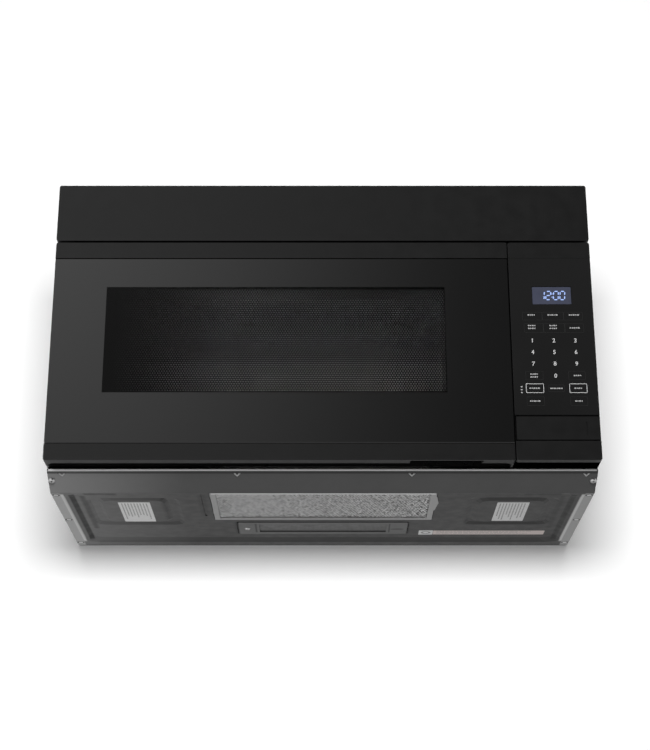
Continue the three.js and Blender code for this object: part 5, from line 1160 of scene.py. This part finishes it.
def oven_shell(name):
    """Pale speckled enamel inside the oven, with painted light on its back wall that leaves a darker band
    under the roof, black on the flange round its mouth.
    """
    shell = Finish(name, specular=0.5, coat=0.3, coat_roughness=0.15)
    specks = shell.ramp(shell.noise(1.3, 1), 0.66, 0.7)
    x, y, z = shell.axes()
    lit = shell.times(between(shell, y, *OVEN_BACK_LIGHT["y"], 0.5), between(shell, z, *OVEN_BACK_LIGHT["z"], 2))
    plain = shell.blend(lit, (0.4, 0.39, 0.37), (0.64, 0.625, 0.59))
    pale = shell.blend(specks, plain, (0.16, 0.15, 0.14))
    inside = shell.times(between(shell, x, *OVEN_INSIDE["x"], 0.1),
                         between(shell, z, *OVEN_INSIDE["z"], 0.1))
    shell.mix(inside, grey(0.012), pale)
    shell.roughen(shell.noise(25, 2), 0.26, 0.36)
    shell.relief(shell.noise(5, 2), 0.04, 0.5)
    return shell.material


def ribbed_lens(name):
    """Smoked lamp lens with fine ribs across it."""
    lens = Finish(name, specular=0.4)
    ribs = lens.add("TexWave", {"Vector": lens.millimetres, "Scale": 0.16},
                    bands_direction="X").outputs[1]
    lens.mix(ribs, grey(0.09), grey(0.13))
    lens.roughen(lens.noise(12, 2), 0.35, 0.5)
    lens.relief(ribs, 0.3, 0.6)
    return lens.material


def smoked_front(name):
    """Door glass: back-printed black round a smoked window, with painted shade that makes the window darker
    towards the left.
    """
    glass = Finish(name, coat_roughness=0.02)
    x, _, z = glass.axes()
    inside = glass.times(between(glass, x, *CLEAR_WINDOW["x"], 0.1),
                         between(glass, z, *CLEAR_WINDOW["z"], 0.1))
    tinted = glass.times(between(glass, x, *SMOKED_WINDOW["x"]),
                         between(glass, z, *SMOKED_WINDOW["z"]))
    outside = glass.math("SUBTRACT", 1.0, inside)
    # the window's tint, with painted shade that makes it darker towards the left
    smoke_and_shade = glass.blend(glass.span(x, *WINDOW_SHADE_X, 0.0, 1.0), grey(0.02), grey(0.85))
    glass.set("ior", glass.math("ADD", glass.times(outside, 0.25), 1.25))
    glass.mix(tinted, grey(0.005), smoke_and_shade)
    glass.set("transmission", inside)
    glass.set("coat", glass.times(outside, 0.6))
    glass.set("specular", glass.math("ADD", glass.times(outside, 0.47), 0.03))
    glass.roughen(glass.noise(60, 4, (1, 3, 1)), 0.05, 0.09)
    glass.relief(glass.noise(160, 1), 0.1, 0.25)
    return glass.material


def main():
    """Makes the camera, the light and the stage, dresses the CAD nodes, and adds the finer pieces."""
    make_camera()
    make_world()
    make_stage()
    dress_nodes()
    make_keypad(ink("print_white", 0.5), ink("print_grey", 0.34), ink("print_box", 0.5),
                ink("print_faint", 0.016))
    make_clock(ink("clock_light", 0.5, (0.4, 0.55, 1.0), 0.6))
    make_screws(bare_metal("screw_steel", 0.62, 0.3, 1.5), black_paint("screw_black", 0.01),
                bare_metal("screw_bright", 0.95, 0.4, 1.5))
    make_lances(bare_metal("lance_edge", 0.55, 0.5, 2))
    make_slot_baffle(black_paint("baffle_paint", 0.05, 0.3, 0.1))
    make_pan_lip(lip_highlight_paint("lip_highlight"))
    make_stickers(paper("sticker_paper", grey(0.92)), ink("sticker_ink", 0.42),
                  paper("sticker_warm", (0.86, 0.75, 0.72)))
    make_filter_mesh(strand_metal("filter_strand"), bare_metal("filter_hem_metal", 0.8, 0.36, 8))
    make_screen(moulded("screen_black", 0.01, 0.5, specular=0.06))


main()
bpy.context.scene.view_settings.view_transform = "Standard"
